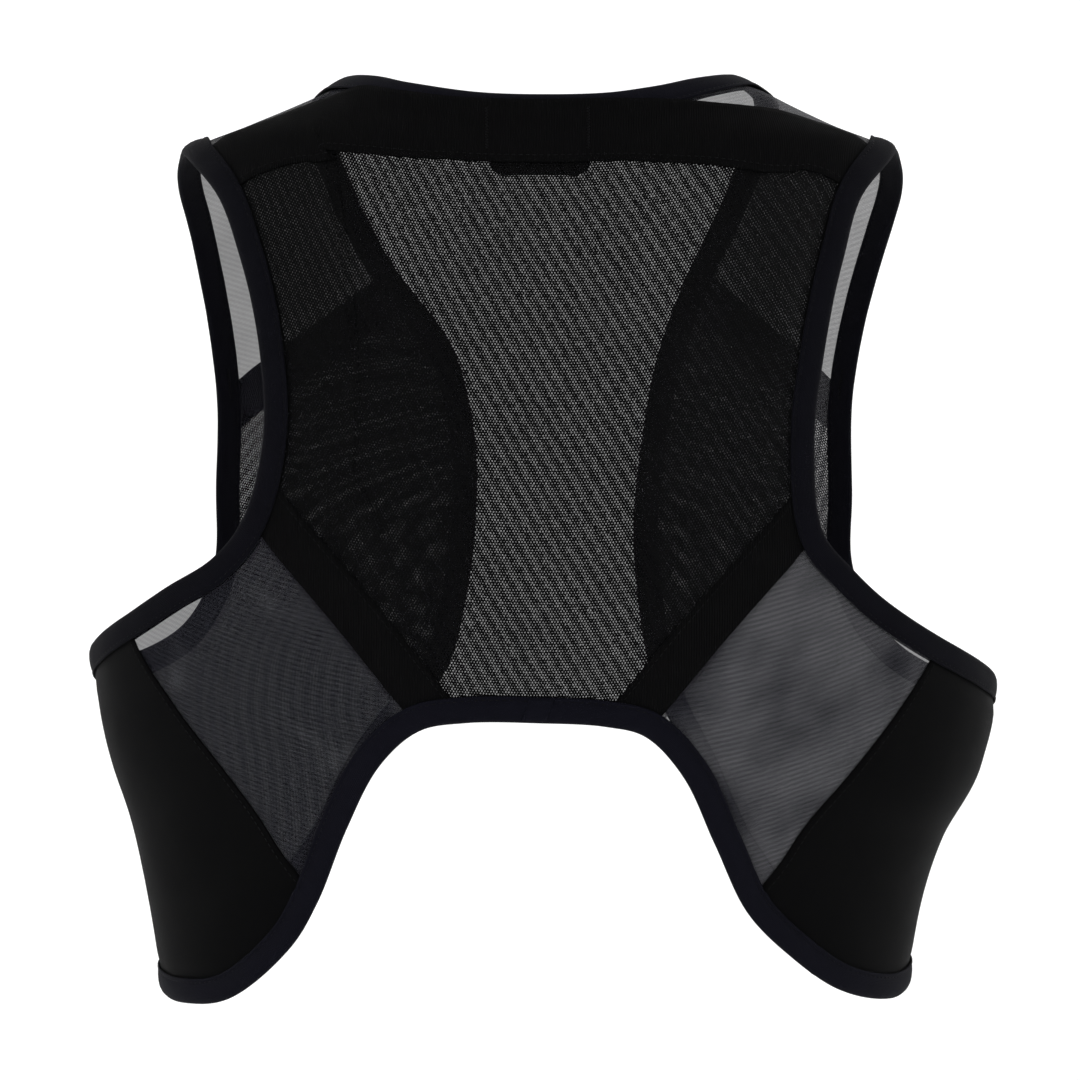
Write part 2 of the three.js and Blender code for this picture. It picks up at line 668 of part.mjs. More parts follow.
function wingMesh(side) {
  const c = cornersOn[side];
  const sense = mirrorOf[side];
  return panel(
    holeSide(side, 'pocketCorner', 'sideSeam'),
    turned(rimSide(side, 'sideSeamHem', 'pocketHem')),
    seamSide(c.pocketCorner, c.pocketHem, seamCells, sense),
    seamSide(c.sideSeam, c.sideSeamHem, seamCells, -sense),
  );
}

function sidePanel(side) {
  const c = cornersOn[side];
  const sense = mirrorOf[side];
  return panel(
    holeSide(side, 'sideSeam', 'frontSeam'),
    turned(rimSide(side, 'frontSeamHem', 'sideSeamHem')),
    seamSide(c.sideSeam, c.sideSeamHem, seamCells, sense),
    seamSide(c.frontSeam, c.frontSeamHem, seamCells, -sense),
  );
}

function frontMesh(side) {
  const c = cornersOn[side];
  const sense = mirrorOf[side];
  const hem = turned(rimSide(side, 'frontCorner', 'frontSeamHem'));
  const shoulder = seamSide(c.shoulder, c.neckShoulder, hem.line.length - 1, -sense);
  const hole = turned(holeSide(side, 'frontSeam', 'shoulder'));
  const seam = seamSide(c.frontSeam, c.frontSeamHem, seamCells, sense);
  const rim = rimSide(side, 'neckShoulder', 'frontCorner');
  hole.line[0] = firstOf(shoulder.line);
  rim.line[0] = lastOf(shoulder.line);
  return panel(shoulder, hem, joined(hole, seam, firstOf(seam.line), false), rim);
}

// The back pocket, which lies over the sheer back between the bindings

const fineArmhole = {};
sides.forEach((side) => {
  fineArmhole[side] = lengthened(armholeStretch(side, 'shoulder', 'sideSeam', bindingInset), 2);
});
const fineHem = outer.stretch('sideSeamHemRight', 'sideSeamHemLeft', bindingInset);

// The slanted side of the pocket at a distance in from its edge, cut off at the bindings
function slantLine(side, distance) {
  const c = cornersOn[side];
  const line = lengthened(straight(c.pocketCorner, c.pocketHem, seamCells), 2);
  const moved = distance > 0 ? beside(line, -mirrorOf[side] * distance) : line;
  const start = crossing(moved, fineArmhole[side]);
  const end = crossing(moved, fineHem);
  return {
    spots: evenly(piece(moved, start.onFirst, end.onFirst), seamCells),
    onArmhole: start.onSecond,
    onHem: end.onSecond,
  };
}

const slantHems = {};
sides.forEach((side) => {
  slantHems[side] = {
    edge: slantLine(side, 0),
    inner: slantLine(side, slantHemWidth),
    body: slantLine(side, slantHemWidth + seamGap),
  };
});

function backPocketHem(side) {
  const { edge, inner } = slantHems[side];
  const top = evenly(piece(fineArmhole[side], edge.onArmhole, inner.onArmhole), slantHemColumns);
  const bottom = evenly(piece(fineHem, edge.onHem, inner.onHem), slantHemColumns);
  return levelWall(field(top, bottom, edge.spots, inner.spots), pocketBottom, pocketTop);
}

// The band's lines run from the middle of the back; each is cut off at the armhole binding
function bandLine(side, share, extra, count) {
  const rows = rowsOnSide(bandTop, side);
  const top = fineSpots(rows, 0, rows.length - 1, false);
  const moved = top.map((spot, i) => {
    const place = (rows.length - 1) * i / (top.length - 1);
    const k = Math.min(Math.floor(place), rows.length - 2);
    const width = between(rows[k].width, rows[k + 1].width, place - k) * bandWidth * share + extra;
    const direction = i === 0
      ? new THREE.Vector3(0, 0, -1)
      : across(top, i, false).multiplyScalar(-mirrorOf[side]);
    return walked(spot, direction, width);
  });
  const cut = crossing(moved, fineArmhole[side]);
  return { spots: evenly(piece(moved, 0, cut.onFirst), count / 2), onArmhole: cut.onSecond };
}

const acrossBoth = (left, right) => [...left.slice(1).reverse(), ...right];

function backPocketBand() {
  const from = {};
  const to = {};
  sides.forEach((side) => {
    from[side] = bandLine(side, 0, 0, pocketColumns);
    to[side] = bandLine(side, 1, 0, pocketColumns);
  });
  const ends = {};
  sides.forEach((side) => {
    ends[side] = evenly(piece(fineArmhole[side], from[side].onArmhole, to[side].onArmhole), bandRows);
  });
  const spots = field(
    acrossBoth(from.Left.spots, from.Right.spots),
    acrossBoth(to.Left.spots, to.Right.spots),
    ends.Left,
    ends.Right,
  );
  const settled = 1 / bandRows;
  const bottomAt = (share) => {
    const rise = share <= settled ? 1 : (1 - share) / (1 - settled);
    return between(pocketBottom, bandFreeBottom, rise);
  };
  return wall(spots, bottomAt, (share) => bottomAt(share) + bandThickness);
}

function backPocket() {
  const edges = {};
  const tops = {};
  sides.forEach((side) => {
    const line = bandLine(side, 1, seamGap, pocketColumns);
    const { body } = slantHems[side];
    const hole = piece(fineArmhole[side], line.onArmhole, body.onArmhole);
    edges[side] = [...evenly(hole, pocketRows), ...body.spots.slice(1)];
    tops[side] = line.spots;
  });
  const hem = piece(fineHem, slantHems.Left.body.onHem, slantHems.Right.body.onHem);
  const spots = field(
    acrossBoth(tops.Left, tops.Right),
    evenly(hem, pocketColumns),
    edges.Left,
    edges.Right,
  );
  return levelWall(spots, pocketBottom, pocketTop);
}

// The small tab inside the back hangs from the neck binding's inner edge
function neckTab() {
  const start = outer.moved(bindingInset)[outer.index.neckMiddleRight];
  const down = new THREE.Vector3(0, 0, -1);
  const spots = [];
  for (let j = 0; j <= tabRows; j += 1) {
    const middle = walked(start, down, tabLength * j / tabRows);
    const row = [];
    for (let i = -tabColumns / 2; i <= tabColumns / 2; i += 1) {
      const reach = tabWidth * i / tabColumns;
      row.push(walked(middle, new THREE.Vector3(Math.sign(reach), 0, 0), Math.abs(reach)));
    }
    spots.push(row);
  }
  return levelWall(spots, 0, bindingWall);
}

// The chest pockets, which lie over the sheer fronts between the bindings

// A line across one front, from the armhole binding to the front edge's binding
function chestLine(side, distance) {
  const hole = armholeStretch(side, 'frontSeam', 'shoulder', bindingInset).reverse();
  const rim = outerStretch(side, 'neckShoulder', 'frontCorner', bindingInset);
  const holeStart = armholes[side].moved(bindingInset)[armholes[side].index[`chestHemOuter${side}`]];
  const rimStart = outer.moved(bindingInset)[outer.index[`chestHem${side}`]];
  const line = lengthened(straight(holeStart, rimStart, seamCells), 2);
  const moved = distance > 0 ? beside(line, -mirrorOf[side] * distance) : line;
  const start = crossing(moved, hole);
  const end = crossing(moved, rim);
  return {
    spots: evenly(piece(moved, start.onFirst, end.onFirst), outerCells.frontCorner),
    hole,
    rim,
    onHole: start.onSecond,
    onRim: end.onSecond,
  };
}

function frontPocketHem(side) {
  const top = chestLine(side, 0);
  const bottom = chestLine(side, chestHemWidth);
  const left = evenly(piece(top.hole, top.onHole, bottom.onHole), chestHemRows);
  const right = evenly(piece(top.rim, top.onRim, bottom.onRim), chestHemRows);
  return levelWall(field(top.spots, bottom.spots, left, right), pocketBottom, pocketTop);
}

function frontPocket(side) {
  const top = chestLine(side, chestHemWidth + seamGap);
  const hem = outerStretch(side, 'frontCorner', 'frontSeamHem', bindingInset).reverse();
  const hole = piece(top.hole, top.onHole, top.hole.length - 1);
  const seam = straight(lastOf(hole), firstOf(hem), seamCells);
  const rim = evenly(piece(top.rim, top.onRim, top.rim.length - 1), hole.length + seam.length - 2);
  return levelWall(field(top.spots, hem, [...hole, ...seam.slice(1)], rim), pocketBottom, pocketTop);
}

// The finished vest

const looks = {
  binding: { color: 0x0f1015, roughness: 0.62 },
  sheer: { color: 0x2c2d31, roughness: 0.75 },
  dotted: { color: 0x131317, roughness: 0.8 },
  dense: { color: 0x0c0c0e, roughness: 0.7 },
  smooth: { color: 0x101015, roughness: 0.55 },
};

const vest = new THREE.Group();

function add(name, geometry, look) {
  const mesh = new THREE.Mesh(geometry, new THREE.MeshStandardMaterial({ ...look, metalness: 0 }));
  mesh.name = name;
  vest.add(mesh);
}

add('back_mesh', backMesh(), looks.sheer);
add('neck_tab', neckTab(), looks.dense);
add('back_pocket', backPocket(), looks.dotted);
add('back_pocket_band', backPocketBand(), looks.dense);
add('edge_binding', foldedBinding(outer), looks.binding);
sides.forEach((side) => {
  const ending = side.toLowerCase();
  add(`back_pocket_hem_${ending}`, backPocketHem(side), looks.dense);
  add(`wing_mesh_${ending}`, wingMesh(side), looks.sheer);
  add(`side_panel_${ending}`, sidePanel(side), looks.smooth);
  add(`front_mesh_${ending}`, frontMesh(side), looks.sheer);
  add(`front_pocket_${ending}`, frontPocket(side), looks.dotted);
  add(`front_pocket_hem_${ending}`, frontPocketHem(side), looks.dense);
  add(`armhole_binding_${ending}`, foldedBinding(armholes[side]), looks.binding);
});

export default vest;
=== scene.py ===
# %% [markdown]
# # A running vest of sheer mesh, filled out as worn
#
# The vest is cut from a few sheer and dense knits. Every piece of it is a sheet that lies close to the
# wearer's body, so this lesson first draws the body's shape as one smooth surface. Each piece is then a
# flat grid of cloth that is laid on that surface between four lines.
#
# We start by loading the solid model. It gives the frame that everything below is placed in.

import math

import bmesh
import bpy
import numpy as np
from mathutils import Matrix, Vector
from mathutils.kdtree import KDTree


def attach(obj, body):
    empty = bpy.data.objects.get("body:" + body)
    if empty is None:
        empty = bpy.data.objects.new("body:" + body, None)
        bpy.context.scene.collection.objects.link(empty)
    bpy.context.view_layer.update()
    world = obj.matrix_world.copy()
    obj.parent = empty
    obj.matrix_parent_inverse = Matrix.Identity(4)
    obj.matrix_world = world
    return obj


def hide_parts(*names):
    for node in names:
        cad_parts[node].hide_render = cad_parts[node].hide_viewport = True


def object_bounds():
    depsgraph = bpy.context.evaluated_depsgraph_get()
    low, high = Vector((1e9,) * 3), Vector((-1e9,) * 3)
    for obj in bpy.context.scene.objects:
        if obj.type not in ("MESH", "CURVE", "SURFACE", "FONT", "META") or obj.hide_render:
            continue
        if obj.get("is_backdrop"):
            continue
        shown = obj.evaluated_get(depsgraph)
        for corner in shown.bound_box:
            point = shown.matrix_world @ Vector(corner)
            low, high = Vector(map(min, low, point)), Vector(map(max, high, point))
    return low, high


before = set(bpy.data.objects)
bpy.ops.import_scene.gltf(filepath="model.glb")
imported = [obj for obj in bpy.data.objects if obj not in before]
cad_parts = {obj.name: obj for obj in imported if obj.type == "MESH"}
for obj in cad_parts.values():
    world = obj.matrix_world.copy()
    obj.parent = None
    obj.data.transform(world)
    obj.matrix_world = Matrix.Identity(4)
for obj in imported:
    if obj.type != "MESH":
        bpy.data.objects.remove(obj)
cad_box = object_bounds()
mm = 0.001
print(len(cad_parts), "solid pieces,", [round((b - a) / mm) for a, b in zip(*cad_box)], "mm")

# %% [markdown]
# ## The camera
#
# The photograph was taken from straight behind, at the height of the chest, from far enough away for the
# sides to look nearly parallel. A long lens at a good two metres gives the same view.

# %% The camera behind the vest
camera_data = bpy.data.cameras.new("camera")
camera_data.lens = 198.2
camera_data.sensor_width = 36
camera = bpy.data.objects.new("camera", camera_data)
camera.location = (0, -2.307, -0.1764)
camera.rotation_euler = (math.radians(90), 0, 0)
bpy.context.scene.collection.objects.link(camera)
bpy.context.scene.camera = camera
print("the camera looks along +Y from", tuple(round(x, 3) for x in camera.location))

# %% [markdown]
# ## The body that fills the vest
#
# A tailor's dummy could be sculpted, but a table of sections is easier to change: each row gives how
# wide and how deep the body is at one height. Between the rows a curve runs that never overshoots them.
#
# A spot on the body is a turn and a drop. The turn is in degrees round the body from the middle of the
# back, positive to the wearer's right. The drop is the height below the shoulders, as a share of the
# vest's height.

# %% The body's sections
vest_height = 353 * mm
chest_width = 344 * mm
chest_depth = 222 * mm
section_power = 2.2

# Each row: drop, then left and right half widths as shares of half the chest width, and back and front
# depths as shares of the chest depth
body_rows = np.array([
    (-0.028, 0.337, 0.337, 0.243, 0.162), (-0.003, 0.413, 0.413, 0.270, 0.207),
    (0.014, 0.477, 0.502, 0.288, 0.239), (0.031, 0.555, 0.572, 0.306, 0.270),
    (0.051, 0.655, 0.660, 0.324, 0.302), (0.079, 0.791, 0.797, 0.351, 0.342),
    (0.127, 0.866, 0.872, 0.387, 0.396), (0.227, 0.930, 0.936, 0.437, 0.464),
    (0.340, 0.965, 0.971, 0.468, 0.509), (0.482, 0.988, 0.994, 0.477, 0.532),
    (0.609, 0.994, 1.006, 0.464, 0.527), (0.680, 0.974, 1.006, 0.450, 0.518),
    (0.742, 0.936, 0.977, 0.437, 0.505), (0.822, 0.895, 0.890, 0.414, 0.486),
    (0.907, 0.860, 0.837, 0.396, 0.468), (1.034, 0.820, 0.797, 0.378, 0.450),
])
row_drops = body_rows[:, 0]
row_gaps = np.diff(row_drops)


def slopes_of(column):
    """The slope of a smooth curve at each row, flat wherever the column turns round."""
    rises = np.diff(column) / row_gaps
    slopes = np.empty_like(column)
    slopes[0], slopes[-1] = rises[0], rises[-1]
    before = 2 * row_gaps[1:] + row_gaps[:-1]
    after = row_gaps[1:] + 2 * row_gaps[:-1]
    steady = rises[:-1] * rises[1:] > 0
    first, second = np.where(steady, rises[:-1], 1), np.where(steady, rises[1:], 1)
    slopes[1:-1] = np.where(steady, (before + after) / (before / first + after / second), 0)
    return slopes


row_slopes = np.stack([slopes_of(body_rows[:, k]) for k in range(5)], axis=1)


def share_at(k, drop):
    """Column k of the table at any drop."""
    i = np.clip(np.searchsorted(row_drops, drop, side="right") - 1, 0, len(row_gaps) - 1)
    t = (drop - row_drops[i]) / row_gaps[i]
    return (
        body_rows[i, k] * (2 * t**3 - 3 * t**2 + 1) + body_rows[i + 1, k] * (3 * t**2 - 2 * t**3)
        + row_gaps[i] * row_slopes[i, k] * (t**3 - 2 * t**2 + t)
        + row_gaps[i] * row_slopes[i + 1, k] * (t**3 - t**2)
    )


def smooth_body(spots):
    """Points of the body without folds, for an array of (turn, drop)."""
    turn, drop = spots[..., 0], spots[..., 1]
    angle = np.radians(turn)
    half = np.where(turn < 0, share_at(1, drop), share_at(2, drop)) * chest_width / 2
    depth = np.where(abs(turn) < 90, share_at(3, drop), share_at(4, drop)) * chest_depth
    wide = abs(np.sin(angle) / half) ** section_power
    deep = abs(np.cos(angle) / depth) ** section_power
    reach = (wide + deep) ** (-1 / section_power)
    return np.stack([reach * np.sin(angle), -reach * np.cos(angle), -drop * vest_height], axis=-1)


print("chest", round(share_at(1, 0.482) * chest_width / mm), "mm wide at its widest")

# %% [markdown]
# Soft cloth over a body shows long shallow folds. Each is a ridge with a soft slope to both sides, and
# because the body itself carries them, every layer of cloth follows the same fold and no layer cuts
# through another.

# %% Folds in the cloth
# Each row: turn, drop, slope in degrees, then reach, width and rise in millimetres
folds = [
    (-60, 0.885, 38, 34.4, 14.4, 1.72), (-50, 0.820, 44, 27.5, 12.4, 1.20),
    (-84, 0.735, 12, 41.3, 15.8, 2.06), (58, 0.885, -40, 34.4, 14.4, 1.72),
    (47, 0.830, -46, 27.5, 12.4, 1.20), (74, 0.770, -6, 41.3, 15.1, 1.72),
]


def fold_rise(points, turn):
    rise = np.zeros(turn.shape)
    for at_turn, at_drop, slope, reach, width, height in folds:
        centre = smooth_body(np.array([at_turn, at_drop], float))
        away = points - centre
        flat = np.hypot(away[..., 0], away[..., 1]) * np.sign(turn - at_turn)
        lean = math.radians(slope)
        along = flat * math.cos(lean) + away[..., 2] * math.sin(lean)
        aside = away[..., 2] * math.cos(lean) - flat * math.sin(lean)
        ridge = np.exp(-((along / (reach * mm)) ** 2) - (aside / (width * mm)) ** 2)
        rise += height * mm * ridge * (np.sign(at_turn) == np.sign(turn))
    return rise


def body(spots):
    """Points of the body with its folds."""
    points = smooth_body(spots)
    outward = points * [1, 1, 0]
    outward /= np.linalg.norm(outward, axis=-1, keepdims=True)
    return points + outward * fold_rise(points, spots[..., 0])[..., None]


print(len(folds), "folds, up to", max(row[5] for row in folds), "mm high")

# %% [markdown]
# To work on the body we need its outward direction, and a way to walk over it for a given distance, as
# a tape measure does. Both come from how the surface moves when the turn or the drop changes a little.

# %% Directions and walks on the body
turn_step = np.array([0.2, 0])
drop_step = np.array([0, 0.0006])


def slopes_on_body(spots):
    """How the body's points move with turn and with drop, and its outward normal."""
    per_turn = (body(spots + turn_step) - body(spots - turn_step)) / (2 * turn_step[0])
    per_drop = (body(spots + drop_step) - body(spots - drop_step)) / (2 * drop_step[1])
    normal = np.cross(per_drop, per_turn)
    return per_turn, per_drop, normal / np.linalg.norm(normal, axis=-1, keepdims=True)


def raised(spots, height):
    """Points at a height above the body; height is one number or one for each spot."""
    normal = slopes_on_body(spots)[2]
    return body(spots) + normal * np.asarray(height)[..., None]


def walked(spots, direction, distance):
    """The spots reached by walking over the body in a direction, two millimetres at a stride."""
    strides = max(1, math.ceil(np.max(distance) / (2 * mm)))
    here = spots.astype(float)
    for _ in range(strides):
        per_turn, per_drop, normal = slopes_on_body(here)
        flat = direction - normal * np.sum(direction * normal, axis=-1, keepdims=True)
        flat /= np.linalg.norm(flat, axis=-1, keepdims=True)
        tt, td, dd = (np.sum(a * b, axis=-1) for a, b in
                      ((per_turn, per_turn), (per_turn, per_drop), (per_drop, per_drop)))
        t, d = np.sum(flat * per_turn, axis=-1), np.sum(flat * per_drop, axis=-1)
        scale = np.asarray(distance) / strides / (tt * dd - td * td)
        here = here + np.stack([(t * dd - d * td) * scale, (d * tt - t * td) * scale], axis=-1)
    return here


def length_of(line):
    return float(np.linalg.norm(np.diff(smooth_body(line), axis=0), axis=1).sum())


print("from the neck to the hem along the back:", round(length_of(np.array(
    [[0, d] for d in np.linspace(0.028, 0.69, 60)])) / mm), "mm")

# %% [markdown]
# ## Lines on the body
#
# A pattern cutter draws smooth lines through a few points. The same is done here: a line through rows
# of spots, then evenly spaced along its length, moved sideways, or cut where another line crosses it.

# %% Drawing lines
turn_length = math.pi * (chest_width + chest_depth) / 4 / 180
flat_scale = np.array([turn_length, vest_height])
fine = 24


def through(rows, closed):
    """Fine spots along a smooth line through rows, with each row at every 24th spot."""
    flat = rows * flat_scale
    if closed:
        flat = np.concatenate([flat[-1:], flat, flat[:2]])
    else:
        flat = np.concatenate([[2 * flat[0] - flat[1]], flat, [2 * flat[-1] - flat[-2]]])
    knots = np.concatenate([[0], np.cumsum(np.linalg.norm(np.diff(flat, axis=0), axis=1) ** 0.5)])
    spots = []
    for k in range(1, len(flat) - 2):
        t = np.linspace(knots[k], knots[k + 1], fine, endpoint=False)[:, None]

        def blend(a, b, i, j):
            return ((knots[j] - t) * a + (t - knots[i]) * b) / (knots[j] - knots[i])

        first, middle, last = (blend(flat[i], flat[i + 1], i, i + 1) for i in (k - 1, k, k + 1))
        low, high = blend(first, middle, k - 1, k + 1), blend(middle, last, k, k + 2)
        spots.append(blend(low, high, k, k + 1))
    if not closed:
        spots.append(flat[-2:-1])
    return np.concatenate(spots) / flat_scale


def evenly(line, count):
    """The line again as count cells of equal length."""
    steps = np.linalg.norm(np.diff(smooth_body(line), axis=0), axis=1)
    lengths = np.concatenate([[0], np.cumsum(steps)])
    wanted = np.linspace(0, lengths[-1], count + 1)
    return np.stack([np.interp(wanted, lengths, line[:, k]) for k in (0, 1)], axis=1)


def beside(line, distance, closed=False):
    """The line moved to the left of travel as seen from outside, or to the right if negative."""
    if closed:
        travel = body(np.roll(line, -1, axis=0)) - body(np.roll(line, 1, axis=0))
    else:
        points = body(line)
        travel = np.gradient(points, axis=0)
    across = np.cross(slopes_on_body(line)[2], travel) * np.sign(distance)
    return walked(line, across, abs(distance)) if distance else line


def lengthened(line, distance):
    """The line made longer at both ends."""
    points = smooth_body(line)
    first = (line[0] - line[1]) * distance / np.linalg.norm(points[0] - points[1])
    last = (line[-1] - line[-2]) * distance / np.linalg.norm(points[-1] - points[-2])
    return np.concatenate([[line[0] + first], line, [line[-1] + last]])


def crossing(first, second):
    """Where two lines cross, as a place along the first."""
    a, b = first[:-1, None], second[None, :-1]
    along_a, along_b = np.diff(first, axis=0)[:, None], np.diff(second, axis=0)[None]
    area = along_a[..., 0] * along_b[..., 1] - along_a[..., 1] * along_b[..., 0]
    gap = b - a
    area = np.where(area == 0, 1e-12, area)
    s = (gap[..., 0] * along_b[..., 1] - gap[..., 1] * along_b[..., 0]) / area
    t = (gap[..., 0] * along_a[..., 1] - gap[..., 1] * along_a[..., 0]) / area
    hits = np.argwhere((s >= 0) & (s <= 1) & (t >= 0) & (t <= 1))
    if not len(hits):
        raise ValueError("two lines never cross")
    i, k = hits[0]
    return i + s[i, k]


def part_of(line, start, end):
    """The part of a line between two places along it."""
    if start > end:
        return part_of(line, end, start)[::-1]
    places = np.arange(len(line))
    inside = places[(places > start + 1e-6) & (places < end - 1e-6)]
    wanted = np.concatenate([[start], inside, [end]])
    return np.stack([np.interp(wanted, places, line[:, k]) for k in (0, 1)], axis=1)


def straight(first, last):
    return evenly(np.linspace(first, last, 49), 48)


print("a line through four rows has", len(through(np.array([[0, 0.1], [9, 0.2], [9, 0.3], [0, 0.4]]),
                                                  False)), "spots")

# %% [markdown]
# ## The finished edges
#
# Three bound edges give the vest its outline: one long edge that runs round the neck, down both fronts
# and along the hems, and one round each armhole. Their rows are named where a seam meets them.

# %% The rows of the bound edges
# Each row: name of a seam's end or "", turn and drop on the left, turn and drop on the right
outer_rows = [
    ("neck_middle", 0, 0.028, 0, 0.028), ("", 21, 0.025, 21, 0.026), ("", 42, 0.014, 35, 0.019),
    ("", 56, 0.005, 52, 0.008), ("neck_shoulder", 80, 0.001, 80, 0.001), ("", 98, 0.009, 98, 0.009),
    ("", 116, 0.037, 116, 0.037), ("", 130, 0.080, 130, 0.080),
    ("chest_hem", 148, 0.190, 147, 0.190), ("", 162, 0.283, 156, 0.290), ("", 167, 0.380, 160, 0.385),
    ("", 167.5, 0.480, 162, 0.480), ("", 165.5, 0.570, 161, 0.570), ("", 162, 0.645, 159, 0.640),
    ("front_corner", 156, 0.690, 156, 0.690), ("", 147, 0.755, 150, 0.755),
    ("", 137, 0.855, 140.5, 0.855), ("", 123, 0.937, 127, 0.935),
    ("front_seam_hem", 108, 0.977, 108, 0.975), ("", 90, 0.990, 90, 0.985), ("", 76, 1.000, 76, 0.996),
    ("", 65, 0.991, 63.5, 0.981), ("", 53, 0.935, 52.5, 0.938),
    ("side_seam_hem", 47, 0.884, 44.5, 0.893), ("", 40, 0.804, 37, 0.820),
    ("", 32.5, 0.736, 29.5, 0.748), ("pocket_hem", 25, 0.701, 22, 0.707), ("", 16, 0.692, 14, 0.696),
    ("hem_middle", 0, 0.690, 0, 0.692),
]
armhole_rows = [
    ("shoulder", 80, 0.087, 81, 0.083), ("", 66, 0.129, 65.5, 0.130), ("", 57, 0.207, 57.5, 0.207),
    ("", 51, 0.309, 51.5, 0.309), ("", 49.7, 0.393, 49.2, 0.393),
    ("pocket_corner", 52.2, 0.475, 50, 0.490), ("", 57, 0.518, 54.5, 0.529),
    ("", 64, 0.547, 60, 0.564), ("side_seam", 73.5, 0.583, 70, 0.606), ("", 87, 0.617, 85, 0.643),
    ("", 100, 0.628, 100, 0.655), ("front_seam", 110, 0.620, 111, 0.640),
    ("", 117.5, 0.592, 119, 0.605), ("", 122.3, 0.530, 124.6, 0.535), ("", 122.4, 0.440, 124.6, 0.450),
    ("chest_hem_outer", 120.6, 0.325, 122.5, 0.325), ("", 114, 0.210, 115, 0.210),
    ("", 106, 0.137, 105, 0.130), ("", 94, 0.088, 94, 0.084),
]
sides = {"left": -1, "right": 1}


def on_side(rows, side):
    """Names and spots of a table on one side of the body."""
    k = 1 if side == "left" else 3
    names = [row[0] and f"{row[0]}_{side}" for row in rows]
    return names, np.array([(sides[side] * row[k], row[k + 1]) for row in rows], float)


print(len(outer_rows), "rows down each side,", len(armhole_rows), "round each armhole")

# %% The edges as closed lines
station = 2.0 * mm


class Edge:
    """A bound edge that closes on itself, as evenly spaced spots with named places."""

    def __init__(self, names, rows, sense):
        line = through(rows, True)
        marks = [i for i, name in enumerate(names) if name]
        self.at, self.sense, self.kept, parts = {}, sense, {}, []
        for here, there in zip(marks, marks[1:] + [marks[0] + len(rows)]):
            stretch = np.take(line, range(here * fine, there * fine + 1), axis=0, mode="wrap")
            self.at[names[here]] = sum(map(len, parts))
            parts.append(evenly(stretch, max(2, round(length_of(stretch) / station)))[:-1])
        self.line = np.concatenate(parts)

    def moved(self, inset):
        """The whole edge moved onto the cloth."""
        if inset not in self.kept:
            self.kept[inset] = beside(self.line, self.sense * inset, True)
        return self.kept[inset]

    def way(self, *names, inset=0.0, extra=0):
        """From one named place by others to the last, the shorter way each time."""
        count, picked = len(self.line), [self.at[names[0]]]
        for name in names[1:]:
            ahead = (self.at[name] - picked[-1]) % count
            step = 1 if ahead <= count / 2 else -1
            picked += [picked[-1] + step * (i + 1) for i in range(ahead if step > 0 else count - ahead)]
        step = picked[1] - picked[0]
        before = [picked[0] - step * (i + 1) for i in range(extra)][::-1]
        step = picked[-1] - picked[-2]
        after = [picked[-1] + step * (i + 1) for i in range(extra)]
        return np.take(self.moved(inset), before + picked + after, axis=0, mode="wrap")


names_right, rows_right = on_side(outer_rows, "right")
names_left, rows_left = on_side(outer_rows, "left")
names_right[0], names_right[-1] = "neck_middle", "hem_middle"
outer = Edge(names_right + names_left[-2:0:-1], np.concatenate([rows_right, rows_left[-2:0:-1]]), -1)
armholes = {side: Edge(*on_side(armhole_rows, side), -sides[side]) for side in sides}
for name, edge in [("outer edge", outer), *armholes.items()]:
    print(name, round(length_of(np.concatenate([edge.line, edge.line[:1]])) / mm), "mm round")

# %% [markdown]
# Where the knits overlap near a binding they are pressed flat under it. To know how near a spot is to a
# bound edge, all edge points go into a search tree, which finds the nearest one quickly.

# %% Distance to the bound edges
def tree_of(*edges):
    points = np.concatenate([body(edge.line) for edge in edges])
    tree = KDTree(len(points))
    for i, point in enumerate(points):
        tree.insert(point, i)
    tree.balance()
    return tree


all_edges = tree_of(outer, *armholes.values())
armhole_edges = tree_of(*armholes.values())


def pressed(spots, tree, near, far):
    """0 within near of a bound edge, 1 beyond far, with a soft slope between."""
    points = body(spots).reshape(-1, 3)
    away = np.array([tree.find(p)[2] for p in points]).reshape(spots.shape[:-1])
    t = np.clip((away - near) / (far - near), 0, 1)
    return t * t * (3 - 2 * t)


print("the search trees hold", len(outer.line) + sum(len(e.line) for e in armholes.values()), "points")

# %% [markdown]
# ## Laying cloth on the body
#
# A knit has its own directions, rows and columns of stitches, and its look has to follow them. So each
# spot also gets its place on the flat cloth: how far round the body and how far down it lies. That goes
# into a UV map, in metres, and the materials read it.

# %% Places on the flat cloth
table_turns = np.arange(-180, 181, 2.0)
table_drops = np.arange(-0.04, 1.07, 0.01)
table_points = smooth_body(np.stack(np.meshgrid(table_turns, table_drops), axis=-1))
round_it = np.cumsum(np.linalg.norm(np.diff(table_points, axis=1), axis=-1), axis=1)
round_it = np.concatenate([np.zeros((len(table_drops), 1)), round_it], axis=1)
round_it -= round_it[:, len(table_turns) // 2][:, None]
down_it = np.cumsum(np.linalg.norm(np.diff(table_points, axis=0), axis=-1), axis=0)
down_it = np.concatenate([np.zeros((1, len(table_turns))), down_it], axis=0)


def on_cloth(spots):
    """How far round and down the body each spot lies, in metres."""
    x = np.clip((spots[..., 0] - table_turns[0]) / 2, 0, len(table_turns) - 1.001)
    y = np.clip((spots[..., 1] - table_drops[0]) / 0.01, 0, len(table_drops) - 1.001)
    i, j = x.astype(int), y.astype(int)
    x, y = x - i, y - j
    return np.stack([
        (t[j, i] * (1 - x) + t[j, i + 1] * x) * (1 - y) + (t[j + 1, i] * (1 - x) + t[j + 1, i + 1] * x) * y
        for t in (round_it, down_it)], axis=-1)


print("the back is", round(2 * float(on_cloth(np.array([50.0, 0.4]))[0]) / mm), "mm from armhole to armhole")

# %% [markdown]
# A panel could be modelled by hand, vertex by vertex. It is quicker and smoother to start from a flat
# grid and to move its vertices onto the body between four border lines. The borders run past each
# other, are cut where they cross, and the inside is blended between them.

